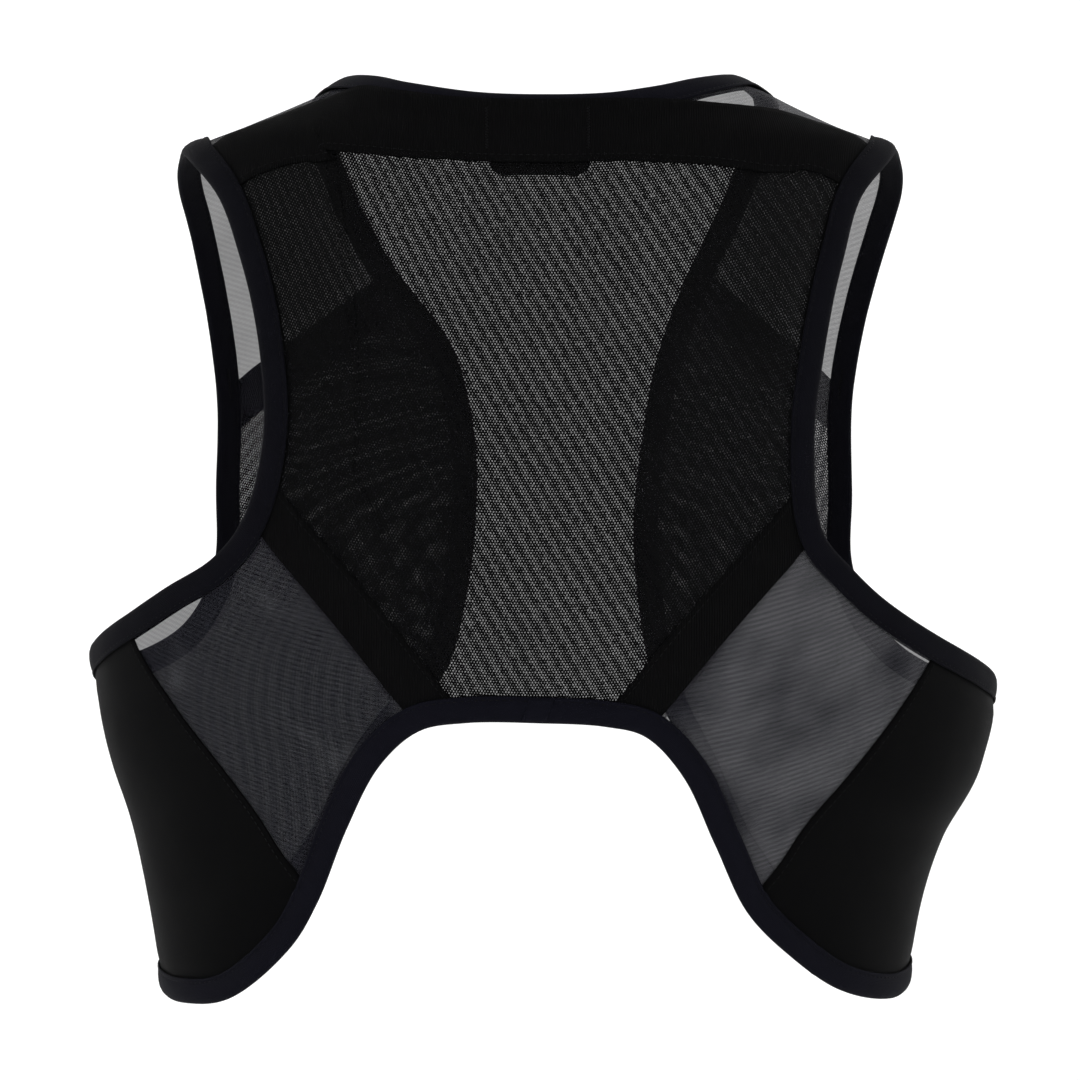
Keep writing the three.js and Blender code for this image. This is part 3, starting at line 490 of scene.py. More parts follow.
# %% Panels between four lines
def ring(lines):
    """Lines round a piece, each cut where it crosses the one before and the one after."""
    return [part_of(line, crossing(line, lines[k - 1]), crossing(line, lines[(k + 1) % len(lines)]))
            for k, line in enumerate(lines)]


def joined(lines, count):
    """Lines end to end, divided into count cells, a whole number of them to each line."""
    ends = np.cumsum([0, *map(length_of, lines)])
    marks = np.round(ends / ends[-1] * count).astype(int)
    parts = [evenly(line, n) for line, n in zip(lines, np.diff(marks))]
    return np.concatenate([part[:-1] for part in parts] + [parts[-1][-1:]])


def panel(top, right, bottom, left, cell=3 * mm):
    """The spots of a panel; top and bottom are a line each, right and left are lists of lines from top
    to bottom."""
    lines = ring([top, *right, bottom, *left[::-1]])
    count = len(right)
    top, right, bottom, left = lines[0], lines[1:count + 1], lines[count + 1], lines[:count + 1:-1]
    bottom, left = bottom[::-1], [line[::-1] for line in left]
    columns = max(2, round(max(length_of(top), length_of(bottom)) / cell))
    rows = max(3, round(max(sum(map(length_of, side)) for side in (left, right)) / cell))
    top, bottom = evenly(top, columns), evenly(bottom, columns)
    left, right = joined(left, rows), joined(right, rows)
    u = np.linspace(0, 1, len(top))[None, :, None]
    v = np.linspace(0, 1, len(left))[:, None, None]
    corners = (1 - v) * ((1 - u) * top[0] + u * top[-1]) + v * ((1 - u) * bottom[0] + u * bottom[-1])
    return (1 - v) * top[None] + v * bottom[None] + (1 - u) * left[:, None] + u * right[:, None] - corners


def finished(name, work, finish):
    """A bmesh made into a smooth object with its finish."""
    mesh = bpy.data.meshes.new(name)
    work.to_mesh(mesh)
    work.free()
    mesh.shade_smooth()
    mesh.materials.append(finish)
    made = bpy.data.objects.new(name, mesh)
    bpy.context.scene.collection.objects.link(made)
    return made


def grid_of(points, cloth, closes=False):
    """A bmesh grid whose vertices lie at points[row, column], with the cloth's places as its UV map."""
    rows, columns = points.shape[:2]
    work = bmesh.new()
    bmesh.ops.create_grid(work, x_segments=columns - 1, y_segments=rows - 1, size=1)
    places = [(round((1 - v.co.y) / 2 * (rows - 1)), round((1 + v.co.x) / 2 * (columns - 1)))
              for v in work.verts]
    for vertex, place in zip(work.verts, places):
        vertex.co = points[place]
    uv = work.loops.layers.uv.new("cloth")
    for face in work.faces:
        for loop in face.loops:
            loop[uv].uv = cloth[places[loop.vert.index]]
    if closes:
        bmesh.ops.remove_doubles(work, verts=work.verts, dist=0.01 * mm)
    work.normal_update()
    outward = sum(f.normal.dot(f.calc_center_median() * Vector((1, 1, 0))) for f in work.faces)
    if outward < 0:
        bmesh.ops.reverse_faces(work, faces=work.faces)
    return work


def thickened(piece, thickness):
    """Gives a sheet its thickness, half to each side."""
    wall = piece.modifiers.new("thickness", "SOLIDIFY")
    wall.thickness = thickness
    wall.offset = 0
    return piece


pieces, grids, cuts = {}, {}, {}


def cut_of(points):
    """The rectangle that a piece is cut from, and the area of the piece itself."""
    along = np.linalg.norm(np.diff(points, axis=1), axis=-1)
    down = np.linalg.norm(np.diff(points, axis=0), axis=-1)
    first, second = points[1:, 1:] - points[:-1, :-1], points[1:, :-1] - points[:-1, 1:]
    area = float(np.linalg.norm(np.cross(first, second), axis=-1).sum() / 2)
    return float(along.sum(axis=1).max()), float(down.sum(axis=0).max()), area


def laid(name, spots, height, finish, thickness=0.0):
    """Lays cloth on the body at a height, one number or one for each spot, and keeps it by its name."""
    points = raised(spots, np.broadcast_to(height, spots.shape[:-1]))
    grids[name], cuts[name] = spots, cut_of(body(spots))
    piece = finished(name, grid_of(points, on_cloth(spots)), finish)
    print(name, len(piece.data.polygons), "faces")
    pieces[name] = thickened(piece, thickness) if thickness else piece


# %% [markdown]
# ## Finishes
#
# The knits differ in how much they let through. Looking closely, each is a pattern of threads and tiny
# holes, and a material can draw that pattern: it reads the place on the cloth, works out whether there
# is thread or hole, and drives the alpha with it. The small class below lets a pattern be written as a
# sum.

# %% A small kit for writing materials
class Wire:
    """A socket that can be used in sums; each sum adds a Math node."""

    def __init__(self, recipe, socket):
        self.recipe, self.socket = recipe, socket

    def maths(self, operation, *values):
        return self.recipe.node("ShaderNodeMath", {"operation": operation}, dict(enumerate(values)))

    def __add__(self, other):
        return self.maths("ADD", self, other)

    def __sub__(self, other):
        return self.maths("SUBTRACT", self, other)

    def __mul__(self, other):
        return self.maths("MULTIPLY", self, other)

    def __truediv__(self, other):
        return self.maths("DIVIDE", self, other)

    def __pow__(self, other):
        return self.maths("POWER", self, other)

    def __rsub__(self, other):
        return self.maths("SUBTRACT", other, self)

    __radd__, __rmul__ = __add__, __mul__

    def part(self):
        return self.maths("FRACT", self)

    def whole(self):
        return self.maths("FLOOR", self)

    def size(self):
        return self.maths("ABSOLUTE", self)

    def wave(self):
        """A wave from -1 to 1 with a period of one."""
        return self.maths("SINE", self * (2 * math.pi))

    def step(self, low, high):
        """0 below low and 1 above high, with a soft slope; low may be above high."""
        settings = {"interpolation_type": "SMOOTHSTEP"}
        return self.recipe.node("ShaderNodeMapRange", settings, {0: self, 1: low, 2: high})


class Recipe:
    """A material under construction."""

    def __init__(self, name):
        self.material = bpy.data.materials.new(name)
        self.material.use_nodes = True
        self.tree = self.material.node_tree
        self.tree.nodes.clear()

    def node(self, kind, settings=None, inputs=None, output=0):
        """One node: its settings first, then the values or links of its sockets."""
        made = self.tree.nodes.new(kind)
        for key, value in (settings or {}).items():
            setattr(made, key, value)
        for key, value in (inputs or {}).items():
            if isinstance(value, Wire):
                self.tree.links.new(value.socket, made.inputs[key])
            else:
                made.inputs[key].default_value = value
        return Wire(self, made.outputs[output]) if len(made.outputs) else made

    def cloth(self):
        """The place on the flat cloth, in millimetres: across, down, and as a vector."""
        uv = self.node("ShaderNodeUVMap", {"uv_map": "cloth"})
        scaled = self.node("ShaderNodeVectorMath", {"operation": "SCALE"}, {0: uv, "Scale": 1000})
        parts = self.node("ShaderNodeSeparateXYZ", inputs={0: scaled})
        return parts, Wire(self, parts.socket.node.outputs[1]), scaled

    def noise(self, vector, scale, detail=2.0):
        """Noise from about 0 to 1, with lumps about 1 / scale across."""
        return self.node("ShaderNodeTexNoise", None, {"Vector": vector, "Scale": scale, "Detail": detail})

    def mix(self, factor, first, second):
        """A colour between two others."""
        settings = {"data_type": "RGBA"}
        return self.node("ShaderNodeMix", settings, {0: factor, 6: first, 7: second}, output=2)

    def bump(self, height, depth):
        """The normal of a surface whose relief is height times depth, in metres."""
        return self.node("ShaderNodeBump", None, {"Height": height, "Distance": depth})

    def done(self, **inputs):
        """The surface shader with these sockets set, and the finished material."""
        named = {key.replace("_", " "): value for key, value in inputs.items()}
        shader = self.node("ShaderNodeBsdfPrincipled", None, named)
        self.node("ShaderNodeOutputMaterial", None, {"Surface": shader})
        return self.material


def grey(level, blue=1.0):
    """A dark grey from a level between 0 and 1 as light, a little bluer if asked."""
    return (level, level, level * blue, 1.0)


print("the kit is ready")

# %% [markdown]
# **Sheer mesh.** The base of the vest is a fine net. Its holes stand in rows about half a millimetre
# apart, and about a fifth of the light comes through. Level ribs run across it, 2 mm apart. The cloth is
# lighter in soft patches, and more so to the wearer's right.

# %% Sheer mesh
def from_hole(u, v, pitch_u, pitch_v, radius_u, radius_v):
    """The squared distance to the middle of the nearest hole, in radii of that hole. The holes stand in
    rows, and every other row is shifted by half a step."""
    row = (v / pitch_v).whole()
    across = ((u / pitch_u + row * 0.5).part() - 0.5) * pitch_u / radius_u
    along = ((v / pitch_v).part() - 0.5) * pitch_v / radius_v
    return across * across + along * along


def sheer_mesh(name, open_share, level):
    recipe = Recipe(name)
    u, v, place = recipe.cloth()
    uneven = recipe.noise(place, 0.035, 3)
    net = from_hole(u, v, 0.66, 0.54, 0.27, 0.21).step(1.6, 0.4)
    rib = (v / 1.95 + uneven * 0.2).wave()
    cloudy = recipe.noise(place, 0.03, 2)
    clear = (net * 0.35 + 0.83) * (rib * 0.08 + uneven * 0.4 + 0.76) * open_share
    lightness = (cloudy + u / 600).step(0.38, 0.80)
    between_lines = recipe.mix(lightness, grey(level * 0.34, 1.4), grey(level * 2.2, 1.15))
    on_lines = recipe.mix(lightness, grey(level * 0.72, 1.3), grey(level * 3.5, 1.05))
    colour = recipe.mix(rib * 0.5 + 0.5, between_lines, on_lines)
    relief = recipe.bump(rib * 0.4 + net * -1.0, 0.00008)
    return recipe.done(Base_Color=colour, Roughness=0.72, Specular_IOR_Level=0.05,
                       Alpha=1 - clear, Normal=relief)


sheer = sheer_mesh("sheer_mesh", 0.225, 0.023)
print("sheer mesh:", len(sheer.node_tree.nodes), "nodes")

# %% [markdown]
# **Dotted mesh.** The pockets are a heavier black knit with round holes. Over the sheer mesh the two
# nets beat against each other, which shows as soft slanting stripes. A slow slanting wave in the size of
# the holes gives the same stripes from every side. The holes are smaller beside the shoulders and a
# little larger towards the hem.

# %% Dotted mesh
def dotted_mesh(name, level):
    recipe = Recipe(name)
    u, v, place = recipe.cloth()
    uneven = recipe.noise(place, 0.5, 2)
    grain = recipe.noise(place, 1.1, 1)
    slant = ((u * 0.87 - v * 0.5) / 4.6 + uneven * 1.1).wave()
    aside = u.size().step(62, 86) * (v * -1).step(-165, -120)
    even = v.step(150, 320) * 0.1 + 0.92
    size = (slant * 0.26 + (uneven - 0.5) * 0.3 + (grain - 0.5) * 1.7 + even) * (1 - aside * 0.34)
    net = (from_hole(u, v, 1.1, 0.98, 0.24, 0.30) / (size * size)).step(1.25, 0.7)
    relief = recipe.bump(net * -1.0 + uneven * 0.3, 0.00018)
    return recipe.done(Base_Color=grey(level, 1.08), Roughness=0.8, Specular_IOR_Level=0.04,
                       Alpha=1 - net * 0.96, Normal=relief)


dotted = dotted_mesh("dotted_mesh", 0.0022)
print("dotted mesh:", len(dotted.node_tree.nodes), "nodes")

# %% [markdown]
# **Dense hems.** The band and hems of the pockets are the same knit folded into several layers. Nothing
# shows through, and fine ribs run down them.

# %% Dense hems
def dense_hem(name, level):
    recipe = Recipe(name)
    u, v, place = recipe.cloth()
    uneven = recipe.noise(place, 0.12, 4)
    rib = (u / 0.95 + uneven * 0.6).wave()
    fibre = recipe.noise(place, 3.0, 3)
    colour = recipe.mix(rib * 0.5 * uneven + 0.3, grey(level * 0.75, 1.1), grey(level * 1.5, 1.1))
    relief = recipe.bump(rib * 0.5 + fibre * 0.5, 0.00012)
    return recipe.done(Base_Color=colour, Roughness=0.7 + uneven * 0.2, Specular_IOR_Level=0.04,
                       Normal=relief)


dense = dense_hem("dense_hem", 0.0016)
print("dense hems:", len(dense.node_tree.nodes), "nodes")

# %% [markdown]
# **Stretch cloth.** The side panels are a smooth close knit, almost without sheen or texture.

# %% Stretch cloth
def stretch_cloth(name, level):
    recipe = Recipe(name)
    u, v, place = recipe.cloth()
    cloudy = recipe.noise(place, 0.05, 4)
    grain = ((u + v) / 0.7).wave() * ((u - v) / 0.7).wave()
    fibre = recipe.noise(place, 2.2, 3)
    colour = recipe.mix(cloudy, grey(level * 0.8, 1.15), grey(level * 1.3, 1.15))
    relief = recipe.bump(grain * 0.35 + fibre * 0.65, 0.00007)
    return recipe.done(Base_Color=colour, Roughness=0.56 + cloudy * 0.16, Specular_IOR_Level=0.03,
                       Sheen_Weight=0.003, Normal=relief)


smooth = stretch_cloth("stretch_cloth", 0.0011)
print("stretch cloth:", len(smooth.node_tree.nodes), "nodes")

# %% [markdown]
# ** Binding and thread.** The bindings are a folded knit tape, a little bluer than the rest. Its ribs run
# along it, and the row of stitches near its edge pulls it in. The armhole bindings get a darker copy of
# the same tape, and that darkness is painted shade. The thread is black and nearly matte.

# %% Binding tape and thread
def binding_tape(name, level):
    recipe = Recipe(name)
    u, v, place = recipe.cloth()
    cloudy = recipe.noise(place, 0.07, 4)
    fibre = recipe.noise(place, 1.7, 3)
    rib = (v / 0.55).wave()
    knit = rib * 0.4 + (u / 0.8 + (v / 0.55).whole() * 0.5).wave() * 0.25
    colour = recipe.mix(cloudy * 0.7 + fibre * 0.3, grey(level * 0.7, 2.1), grey(level * 1.35, 2.1))
    relief = recipe.bump(knit + fibre * 0.6, 0.0001)
    return recipe.done(Base_Color=colour, Roughness=0.66 + fibre * 0.2, Specular_IOR_Level=0.05,
                       Sheen_Weight=0.01, Normal=relief)


def black_thread(name, level):
    recipe = Recipe(name)
    where = recipe.node("ShaderNodeTexCoord", output=3)
    fibre = recipe.noise(where, 2500, 2)
    colour = recipe.mix(fibre, grey(level * 0.6, 1.2), grey(level * 1.5, 1.2))
    return recipe.done(Base_Color=colour, Roughness=0.6, Specular_IOR_Level=0.08,
                       Normal=recipe.bump(fibre, 0.00003))


tape = binding_tape("binding_tape", 0.0026)
# The armhole copy of the tape is darker than the edge tape: painted shade on what is one tape
armhole_tape = binding_tape("armhole_tape", 0.0016)
thread = black_thread("black_thread", 0.0022)
print("binding tape:", len(tape.node_tree.nodes), "nodes")

# %% [markdown]
# ## The sheer panels
#
# The back, the two wings beside the slanted pocket hems and the two fronts are single layers of sheer
# mesh. They end inside the fold of the bindings. Where two panels meet they lap over each other by a few
# millimetres, as a flat seam does.

# %% Corners and seams
sheer_height = 1.75 * mm
fold_depth = 1.95 * mm
tucked = 3.0 * mm
lap = 1.8 * mm
longer = 12 * mm
past = 8


def corner(edge, name):
    """The point where a seam meets a bound edge, inside the fold."""
    return edge.moved(fold_depth)[edge.at[name]]


def seam(side, first, last):
    """The straight seam between a place on the armhole and one on the outer edge."""
    start = corner(armholes[side], f"{first}_{side}")
    return straight(start, corner(outer, f"{last}_{side}"))


seams = {side: {
    "shoulder": seam(side, "shoulder", "neck_shoulder")[::-1],
    "slant": seam(side, "pocket_corner", "pocket_hem"),
    "side": seam(side, "side_seam", "side_seam_hem"),
    "front": seam(side, "front_seam", "front_seam_hem"),
} for side in sides}


def lapped(side, name, distance):
    """A seam moved forward over the neighbour in front, or back if negative, and lengthened."""
    return lengthened(beside(seams[side][name], sides[side] * distance), longer)


def hole_line(side, *names, inset=tucked):
    return armholes[side].way(*(f"{n}_{side}" for n in names), inset=inset, extra=past)


def rim_line(side, *names, inset=tucked):
    return outer.way(*(f"{n}_{side}" for n in names), inset=inset, extra=past)


print({name: round(length_of(line) / mm) for name, line in seams["right"].items()}, "mm of seam")

# %% The back, wings and fronts of sheer mesh
def back_side(side):
    return [
        lapped(side, "shoulder", lap),
        hole_line(side, "shoulder", "pocket_corner"),
        lapped(side, "slant", lap),
    ]


laid("back_sheet", panel(
    outer.way("neck_shoulder_left", "neck_middle", "neck_shoulder_right", inset=tucked, extra=past),
    back_side("right"),
    outer.way("pocket_hem_right", "hem_middle", "pocket_hem_left", inset=tucked, extra=past),
    back_side("left"),
), sheer_height, sheer)
for side in sides:
    laid(f"wing_sheet_{side}", panel(
        hole_line(side, "pocket_corner", "side_seam"),
        [lapped(side, "side", lap)],
        rim_line(side, "side_seam_hem", "pocket_hem"),
        [lapped(side, "slant", -lap)],
    ), sheer_height + 0.1 * mm, sheer)
    laid(f"front_sheet_{side}", panel(
        lapped(side, "shoulder", -lap),
        [rim_line(side, "neck_shoulder", "chest_hem", "front_corner")],
        rim_line(side, "front_corner", "front_seam_hem"),
        [hole_line(side, "shoulder", "chest_hem_outer", "front_seam"), lapped(side, "front", -lap)],
    ), sheer_height - 0.1 * mm, sheer)

# %% [markdown]
# ## The side panels
#
# Under each arm the vest closes with a panel of smooth stretch cloth. It is thicker than the mesh, laps
# over it at both seams and lies flatter where a binding holds it.

# %% Side panels
def side_height(spots):
    return 2.15 * mm + 0.45 * mm * pressed(spots, all_edges, 10 * mm, 16 * mm)


for side in sides:
    spots = panel(
        hole_line(side, "side_seam", "front_seam"),
        [lapped(side, "front", lap)],
        rim_line(side, "front_seam_hem", "side_seam_hem"),
        [lapped(side, "side", -lap)],
    )
    laid(f"side_cloth_{side}", spots, side_height(spots), smooth, 0.6 * mm)

# %% [markdown]
# ## The back pocket
#
# A second layer lies over the whole back. Its top is a wide band that is free along the neck, and its
# two slanted sides are free too, because the hands reach in there. Band and slanted hems are folded
# knit, so they are thicker and hide what is behind.

# %% Lines of the back pocket
band_width = 27 * mm
slant_hem_width = 17 * mm
under = 3 * mm
pocket_inset = 6 * mm
# Heights above the body, in millimetres: pressed flat beside a binding, then free of it
body_heights = (1.9, 3.3)
hem_heights = (2.25, 3.8)
# Each row: turn and drop on the left, turn and drop on the right, then the width on the left and on the
# right as shares of the band's width
band_rows = [
    (0, 0.038, 0, 0.038, 1, 1), (24, 0.036, 24, 0.037, 1, 1), (42, 0.029, 43, 0.039, 1.13, 1.08),
    (56, 0.024, 55, 0.042, 1.46, 1.24), (65, 0.041, 65, 0.049, 1.40, 1.26),
    (71, 0.068, 71, 0.068, 1.09, 1.08), (76, 0.088, 76, 0.088, 0.95, 0.95),
]


def band_line(share, extra=0.0):
    """A line along the band from left to right, at a share of its width below the top."""
    halves, widths = [], []
    for sign, k in ((-1, 0), (1, 2)):
        half = through(np.array([(sign * row[k], row[k + 1]) for row in band_rows], float), False)
        halves.append(half)
        places = np.arange(len(half)) / fine
        widths.append(np.interp(places, np.arange(len(band_rows)), [row[4 + k // 2] for row in band_rows]))
    line = np.concatenate([halves[0][::-1], halves[1][1:]])
    width = np.concatenate([widths[0][::-1], widths[1][1:]]) * band_width
    down = np.cross(np.gradient(body(line), axis=0), slopes_on_body(line)[2])
    return lengthened(walked(line, down, width * share + extra), longer)


def slant_line(side, distance):
    """A line beside the pocket's free slanted edge, towards the middle of the back."""
    return lapped(side, "slant", -distance)


def pocket_hole(side):
    return hole_line(side, "shoulder", "pocket_corner", "side_seam", inset=pocket_inset)


pocket_foot = outer.way("side_seam_hem_right", "hem_middle", "side_seam_hem_left", inset=pocket_inset)
neck_edge = tree_of(outer)


def band_height(spots):
    """The band lies over the neck binding at its top and is pressed flat at the armholes."""
    low = 3.9 * mm + 1.2 * mm * (1 - pressed(spots, neck_edge, 9 * mm, 19 * mm))
    return 2.3 * mm + (low - 2.3 * mm) * pressed(spots, armhole_edges, 9 * mm, 17 * mm)


def pocket_height(spots, low, high):
    return (low + (high - low) * pressed(spots, all_edges, 10 * mm, 20 * mm)) * mm


print("the band is", round(length_of(band_line(0)) / mm), "mm long")

# %% Band, body and slanted hems
hem_wall = 0.7 * mm
band_spots = panel(band_line(0), [pocket_hole("right")], band_line(1), [pocket_hole("left")], 2.5 * mm)
laid("pocket_band", band_spots, band_height(band_spots), dense, 0.9 * mm)
body_spots = panel(
    band_line(1, -under),
    [pocket_hole("right"), slant_line("right", slant_hem_width - under)],
    pocket_foot,
    [pocket_hole("left"), slant_line("left", slant_hem_width - under)],
)
laid("pocket_body", body_spots, pocket_height(body_spots, *body_heights), dotted)
for side in sides:
    spots = panel(pocket_hole(side), [slant_line(side, slant_hem_width)], pocket_foot,
                  [slant_line(side, 0)], 2.5 * mm)
    laid(f"pocket_hem_{side}", spots, pocket_height(spots, *hem_heights), dense, hem_wall)

# %% [markdown]
# Behind the band a small tab of the same knit hangs from the neck binding. It shows through the mesh as
# a darker patch with round corners.

# %% The neck tab
tab_width = 38 * mm
tab_length = 24 * mm
tab_rows, tab_columns = 12, 20
start = outer.moved(9 * mm)[[outer.at["neck_middle"]]]
tab_spots = []
for j in range(tab_rows + 1):
    middle = walked(start, np.array([0, 0, -1.0]), (tab_length + 1.75 * mm) * max(j, 0.01) / tab_rows)
    roundness = max(0.0, j / tab_rows - 0.75) / 0.25
    half = tab_width / 2 - 5 * mm * (1 - math.sqrt(1 - roundness**2))
    tab_spots.append([walked(middle, np.array([math.copysign(1, x), 0, 0]), abs(x))[0]
                      for x in np.linspace(-half, half, tab_columns)])
tab_spots = np.array(tab_spots)
laid("tab", tab_spots, 0.75 * mm, dense, 0.8 * mm)

# %% [markdown]
# ## The chest pockets
#
# Each front carries a pocket of the dotted mesh from chest to hem, with a folded hem along its top.

# %% Chest pockets
chest_hem_width = 17 * mm
beside_tape = 10.75 * mm


def chest_line(side, distance):
    """A line across one front, a distance below the pocket's top edge."""
    start = armholes[side].moved(beside_tape)[armholes[side].at[f"chest_hem_outer_{side}"]]
    end = outer.moved(beside_tape)[outer.at[f"chest_hem_{side}"]]
    return lengthened(beside(straight(start, end), -sides[side] * distance), 2 * longer)


for side in sides:
    hole = hole_line(side, "shoulder", "chest_hem_outer", "front_seam", inset=pocket_inset)
    rim = rim_line(side, "neck_shoulder", "chest_hem", "front_corner", inset=pocket_inset)
    spots = panel(chest_line(side, 0), [rim], chest_line(side, chest_hem_width), [hole], 2.5 * mm)
    laid(f"chest_hem_{side}", spots, pocket_height(spots, *hem_heights), dense, hem_wall)
    spots = panel(chest_line(side, chest_hem_width - under), [rim],
                  rim_line(side, "front_corner", "front_seam_hem", inset=pocket_inset),
                  [hole, lapped(side, "front", 1 * mm)])
    laid(f"chest_pocket_{side}", spots, pocket_height(spots, *body_heights), dotted)

# %% [markdown]
# ## The bindings
#
# A knit tape, folded lengthwise, closes every open edge. One half lies inside the vest and one outside,
# and a row of stitches close to the inner edge of the tape pulls both halves in. The section is drawn
# once and carried along the edge.

# %% Folded bindings
# Each row: inset from the edge and height above the body, in millimetres, from the inner half round the
# fold to the outer half
tape_section = [
    (10.0, 0.95), (9.2, 0.80), (8.5, 1.05), (7.8, 0.72), (6.0, 0.48), (4.0, 0.42), (2.4, 0.50),
    (1.2, 0.90), (0.55, 1.50), (0.42, 2.05), (0.55, 2.60), (1.2, 3.15), (2.4, 3.58), (4.0, 3.70),
    (6.0, 3.60), (7.8, 3.30), (8.5, 2.95), (9.2, 3.25), (10.0, 3.10),
]
tape_wall = 0.7 * mm


def binding(name, edge, finish):
    section = np.array(tape_section) * mm
    across = np.concatenate([[0], np.cumsum(np.linalg.norm(np.diff(section, axis=0), axis=1))])
    count = len(edge.line)
    turns = np.arange(count) / count * 2 * math.pi
    # The fold puffs up and down a little on its way round
    puffed = 1 + 0.05 * np.sin(turns * 23) + 0.04 * np.sin(turns * 41 + 1)
    middle = section[:, 1].mean()
    columns = []
    for inset, height in section:
        spots = edge.moved(round(inset, 6))
        columns.append(raised(spots, middle + (height - middle) * puffed))
    points = np.stack(columns, axis=1)
    points = np.concatenate([points, points[:1]])
    around = length_of(np.concatenate([edge.line, edge.line[:1]])) * np.arange(count + 1) / count
    cloth = np.stack(np.meshgrid(around, across, indexing="ij"), axis=-1)
    cuts[name] = (float(around[-1]), float(across[-1]), float(around[-1] * across[-1]))
    piece = finished(name, grid_of(points, cloth, closes=True), finish)
    print(name, len(piece.data.polygons), "faces")
    pieces[name] = thickened(piece, tape_wall)


binding("edge_tape", outer, tape)
for side in sides:
    binding(f"armhole_tape_{side}", armholes[side], armhole_tape)

# %% [markdown]
# ## Stitches
#
# Each stitch is a small rounded bead of thread. Rows of them follow the tapes, the seams and the hems.

# %% Rows of stitches
stitch_pitch = 2.6 * mm
stitch_half_width = 0.22 * mm
stitch_half_rise = 0.17 * mm


def stitch_row(line, height, pitch=stitch_pitch, turned=0.0, length=1.9 * mm, closed=False):
    """One matrix per stitch along a line of spots, at a height, which is a number or a function."""
    if closed:
        line = np.concatenate([line, line[:1]])
    line = evenly(line, max(2, round(length_of(line) / pitch)))
    points = raised(line, height(line) if callable(height) else np.broadcast_to(height, len(line)))
    normals = slopes_on_body(line)[2]
    made = []
    for k in range(len(line) - 1):
        along = Vector(points[k + 1] - points[k]).normalized()
        up = Vector(normals[k])
        along = Matrix.Rotation(turned if k % 2 else -turned, 3, up) @ along
        place = Vector((points[k] + points[k + 1]) / 2)
        axes = (along * length / 2, up.cross(along) * stitch_half_width, up * stitch_half_rise)
        frame_of = Matrix(axes).transposed()
        made.append(Matrix.Translation(place) @ frame_of.to_4x4())
    return made


def stitched(name, rows):
    """All stitches of some rows as one object."""
    work = bmesh.new()
    for matrix in [matrix for row in rows for matrix in row]:
        bmesh.ops.create_icosphere(work, subdivisions=1, radius=1, matrix=matrix)
    pieces[name] = finished(name, work, thread)
    print(name, sum(map(len, rows)), "stitches")


tape_stitch = 8.5 * mm
over_tape, under_tape = 3.32 * mm, 0.66 * mm
for name, edge in [("edge", outer), *((f"armhole_{side}", e) for side, e in armholes.items())]:
    line = edge.moved(tape_stitch)
    rows = [stitch_row(line, height, closed=True) for height in (over_tape, under_tape)]
    stitched(f"{name}_stitches", rows)

# %% [markdown]
# The band, the hems and the side seams are sewn a few millimetres inside their edges. Where a hem would
# tear, a bar tack holds it: a short, close zigzag of thread.

# %% Hem stitches and bar tacks
def hem_top(spots):
    return pocket_height(spots, *hem_heights) + hem_wall / 2 + 0.08 * mm


def band_top(spots):
    return band_height(spots) + 0.5 * mm


def side_top(spots):
    return side_height(spots) + 0.35 * mm


hem_rows = [stitch_row(grids["pocket_band"][-2], band_top)]
side_rows = []
for side in sides:
    hem_rows.append(stitch_row(grids[f"pocket_hem_{side}"][:, -2], hem_top))
    hem_rows.append(stitch_row(grids[f"chest_hem_{side}"][-2], hem_top))
    for column in (1, -2):
        side_rows.append(stitch_row(grids[f"side_cloth_{side}"][:, column], side_top))
stitched("hem_stitches", hem_rows)
stitched("side_stitches", side_rows)

tack_pitch = 0.7 * mm
tack_turn = math.radians(78)
tack_stitch = 1.5 * mm


def spot_at(x, z):
    """The spot of the back that lies at a given x and z."""
    spot = np.array([0.0, -z / vest_height])
    for _ in range(6):
        point = body(spot)
        spot[0] += math.degrees((x - point[0]) / math.hypot(point[0], point[1]))
    return spot


tack_rows = []
for x in (-19.6 * mm, 17.8 * mm):
    line = np.linspace(spot_at(x, -16.6 * mm), spot_at(x, -32.1 * mm), 12)
    tack_rows.append(stitch_row(line, band_top, tack_pitch, tack_turn, tack_stitch))
for side in sides:
    place = armholes[side].at[f"chest_hem_outer_{side}"]
    line = armholes[side].moved(5 * mm)[place - 3:place + 4]
    for height in (4.12 * mm, 0.02 * mm):
        tack_rows.append(stitch_row(line, height, tack_pitch, tack_turn, tack_stitch))
stitched("bar_tacks", tack_rows)

# %% [markdown]
# The two ends of the long tape meet at the middle of the hem. One end is folded under and lies over the
# other, with a slanting fold.

# %% The join of the tape
join_length = 9 * mm
join_slant = 3 * mm
hem_place = outer.at["hem_middle"]
join_insets = [round(x, 6) for x in np.linspace(0.9, 9.6, 8) * mm]
join_rows = []
for inset in join_insets:
    line = outer.moved(inset)[hem_place - 6:hem_place + 7]
    lengths = np.concatenate([[0], np.cumsum(np.linalg.norm(np.diff(body(line), axis=0), axis=1))])
    start = lengths[5] - join_slant * inset / join_insets[-1]
    wanted = np.linspace(start, start + join_length, 9)
    join_rows.append(np.stack([np.interp(wanted, lengths, line[:, k]) for k in (0, 1)], axis=1))
join_spots = np.array(join_rows)
rise = np.interp(join_insets, [0.9 * mm, 2.4 * mm, 4 * mm, 8 * mm, 9.6 * mm], [3.5, 4.1, 4.25, 3.9, 3.7])
laid("tape_join", join_spots, rise[:, None] * mm, tape, 0.5 * mm)

# %% [markdown]
# ## The stage and its lights
#
# The photograph has a white background without shadows. A wide white dish stands behind and below the
# vest, and three large soft lights keep the black cloth readable.

# %% The stage
floor_drop = 0.62
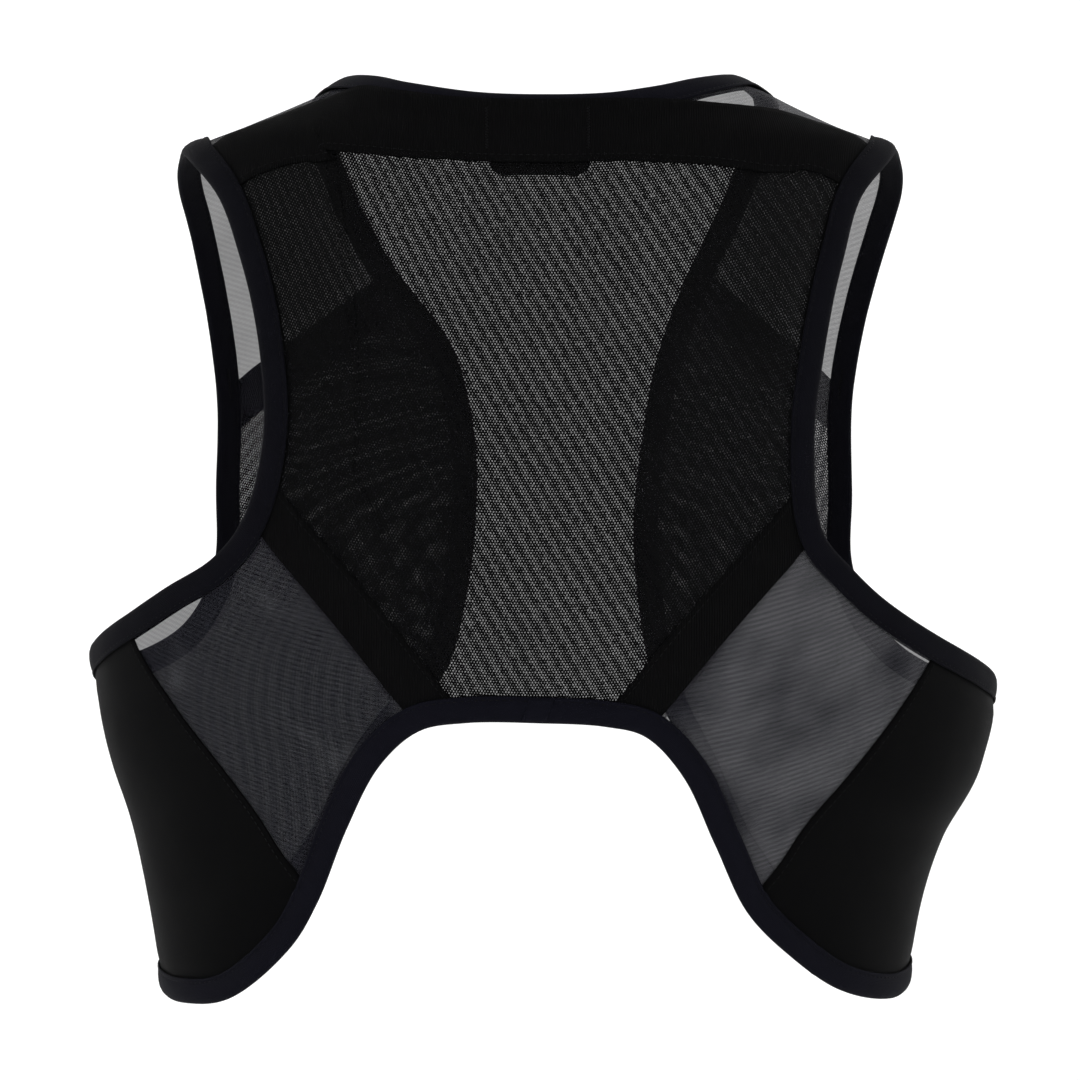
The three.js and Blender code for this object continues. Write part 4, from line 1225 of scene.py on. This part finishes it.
# Each point: radius of the dish and height above its floor, in metres
stage_work = bmesh.new()
profile = [(0, 0), (3.4, 0), (3.9, 0.1), (4.25, 0.35), (4.4, 0.8), (4.4, 3.6)]
ends = [stage_work.verts.new((x, 0, z - floor_drop)) for x, z in profile]
lines = [stage_work.edges.new(pair) for pair in zip(ends, ends[1:])]
bmesh.ops.spin(stage_work, geom=ends + lines, cent=(0, 0, 0), axis=(0, 0, 1), angle=2 * math.pi,
               steps=96, use_merge=True)
bmesh.ops.remove_doubles(stage_work, verts=stage_work.verts, dist=0.001)
bmesh.ops.recalc_face_normals(stage_work, faces=stage_work.faces)
paper = Recipe("paper")
spot = paper.node("ShaderNodeTexCoord", output=3)
grain = paper.noise(spot, 3.0, 2)
backdrop_finish = paper.done(
    Base_Color=paper.mix(grain, (0.80, 0.80, 0.80, 1), (0.83, 0.83, 0.83, 1)), Roughness=0.9,
    Specular_IOR_Level=0.1, Emission_Color=(1, 1, 1, 1), Emission_Strength=0.42)
stage = finished("stage", stage_work, backdrop_finish)
stage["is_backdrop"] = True

world = bpy.data.worlds.new("studio")
world.use_nodes = True
world.node_tree.nodes["Background"].inputs["Color"].default_value = (1, 1, 1, 1)
world.node_tree.nodes["Background"].inputs["Strength"].default_value = 0.36
bpy.context.scene.world = world
bpy.context.scene.view_settings.view_transform = "Standard"


def softbox(name, place, power, size):
    """A square soft light that faces the vest."""
    data = bpy.data.lights.new(name, "AREA")
    data.energy, data.size = power, size
    lamp = bpy.data.objects.new(name, data)
    lamp.location = place
    lamp.rotation_mode = "QUATERNION"
    lamp.rotation_quaternion = (Vector(place) - Vector((0, 0, -0.18))).to_track_quat("Z", "Y")
    bpy.context.scene.collection.objects.link(lamp)


softbox("key", (-1.6, -2.0, 1.5), 14, 1.4)
softbox("fill", (2.0, -1.6, 0.6), 5, 1.6)
softbox("top", (0.2, 0.5, 2.4), 8, 1.8)

# %% [markdown]
# ## The finished pieces
#
# Each piece of cloth takes the place of one solid. Stitches and the join of the tape stand for none.

# %% What each piece stands for
stands_for = {
    "back_sheet": ("back_mesh", "sheer_mesh"), "tab": ("neck_tab", "dense_hem"),
    "pocket_body": ("back_pocket", "dotted_mesh"), "pocket_band": ("back_pocket_band", "dense_hem"),
    "edge_tape": ("edge_binding", "binding"),
}
paired = [
    ("pocket_hem", "back_pocket_hem", "dense_hem"), ("wing_sheet", "wing_mesh", "sheer_mesh"),
    ("side_cloth", "side_panel", "stretch_cloth"), ("front_sheet", "front_mesh", "sheer_mesh"),
    ("chest_pocket", "front_pocket", "dotted_mesh"), ("chest_hem", "front_pocket_hem", "dense_hem"),
    ("armhole_tape", "armhole_binding", "binding"),
]
for side in sides:
    for cloth_name, node, finish in paired:
        stands_for[f"{cloth_name}_{side}"] = (f"{node}_{side}", finish)
for name, piece in pieces.items():
    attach(piece, "root")
    if name in stands_for:
        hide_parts(stands_for[name][0])

# %% [markdown]
# Each sheet's rectangle and area are kept in cuts. Below, the three bindings are listed, and for each piece
# the loop picks what it is sewn to, the back sheet for a binding and the bindings otherwise, but nothing
# more is done with it.

# %% The sheets
tapes = ["edge_tape", *(f"armhole_tape_{side}" for side in sides)]
for name in stands_for:
    ["back_sheet"] if name in tapes else tapes

bpy.context.view_layer.update()
sizes = {"cad": [list(point) for point in cad_box], "visual": [list(point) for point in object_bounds()]}
print({key: [round((b - a) / mm, 1) for a, b in zip(*value)] for key, value in sizes.items()})
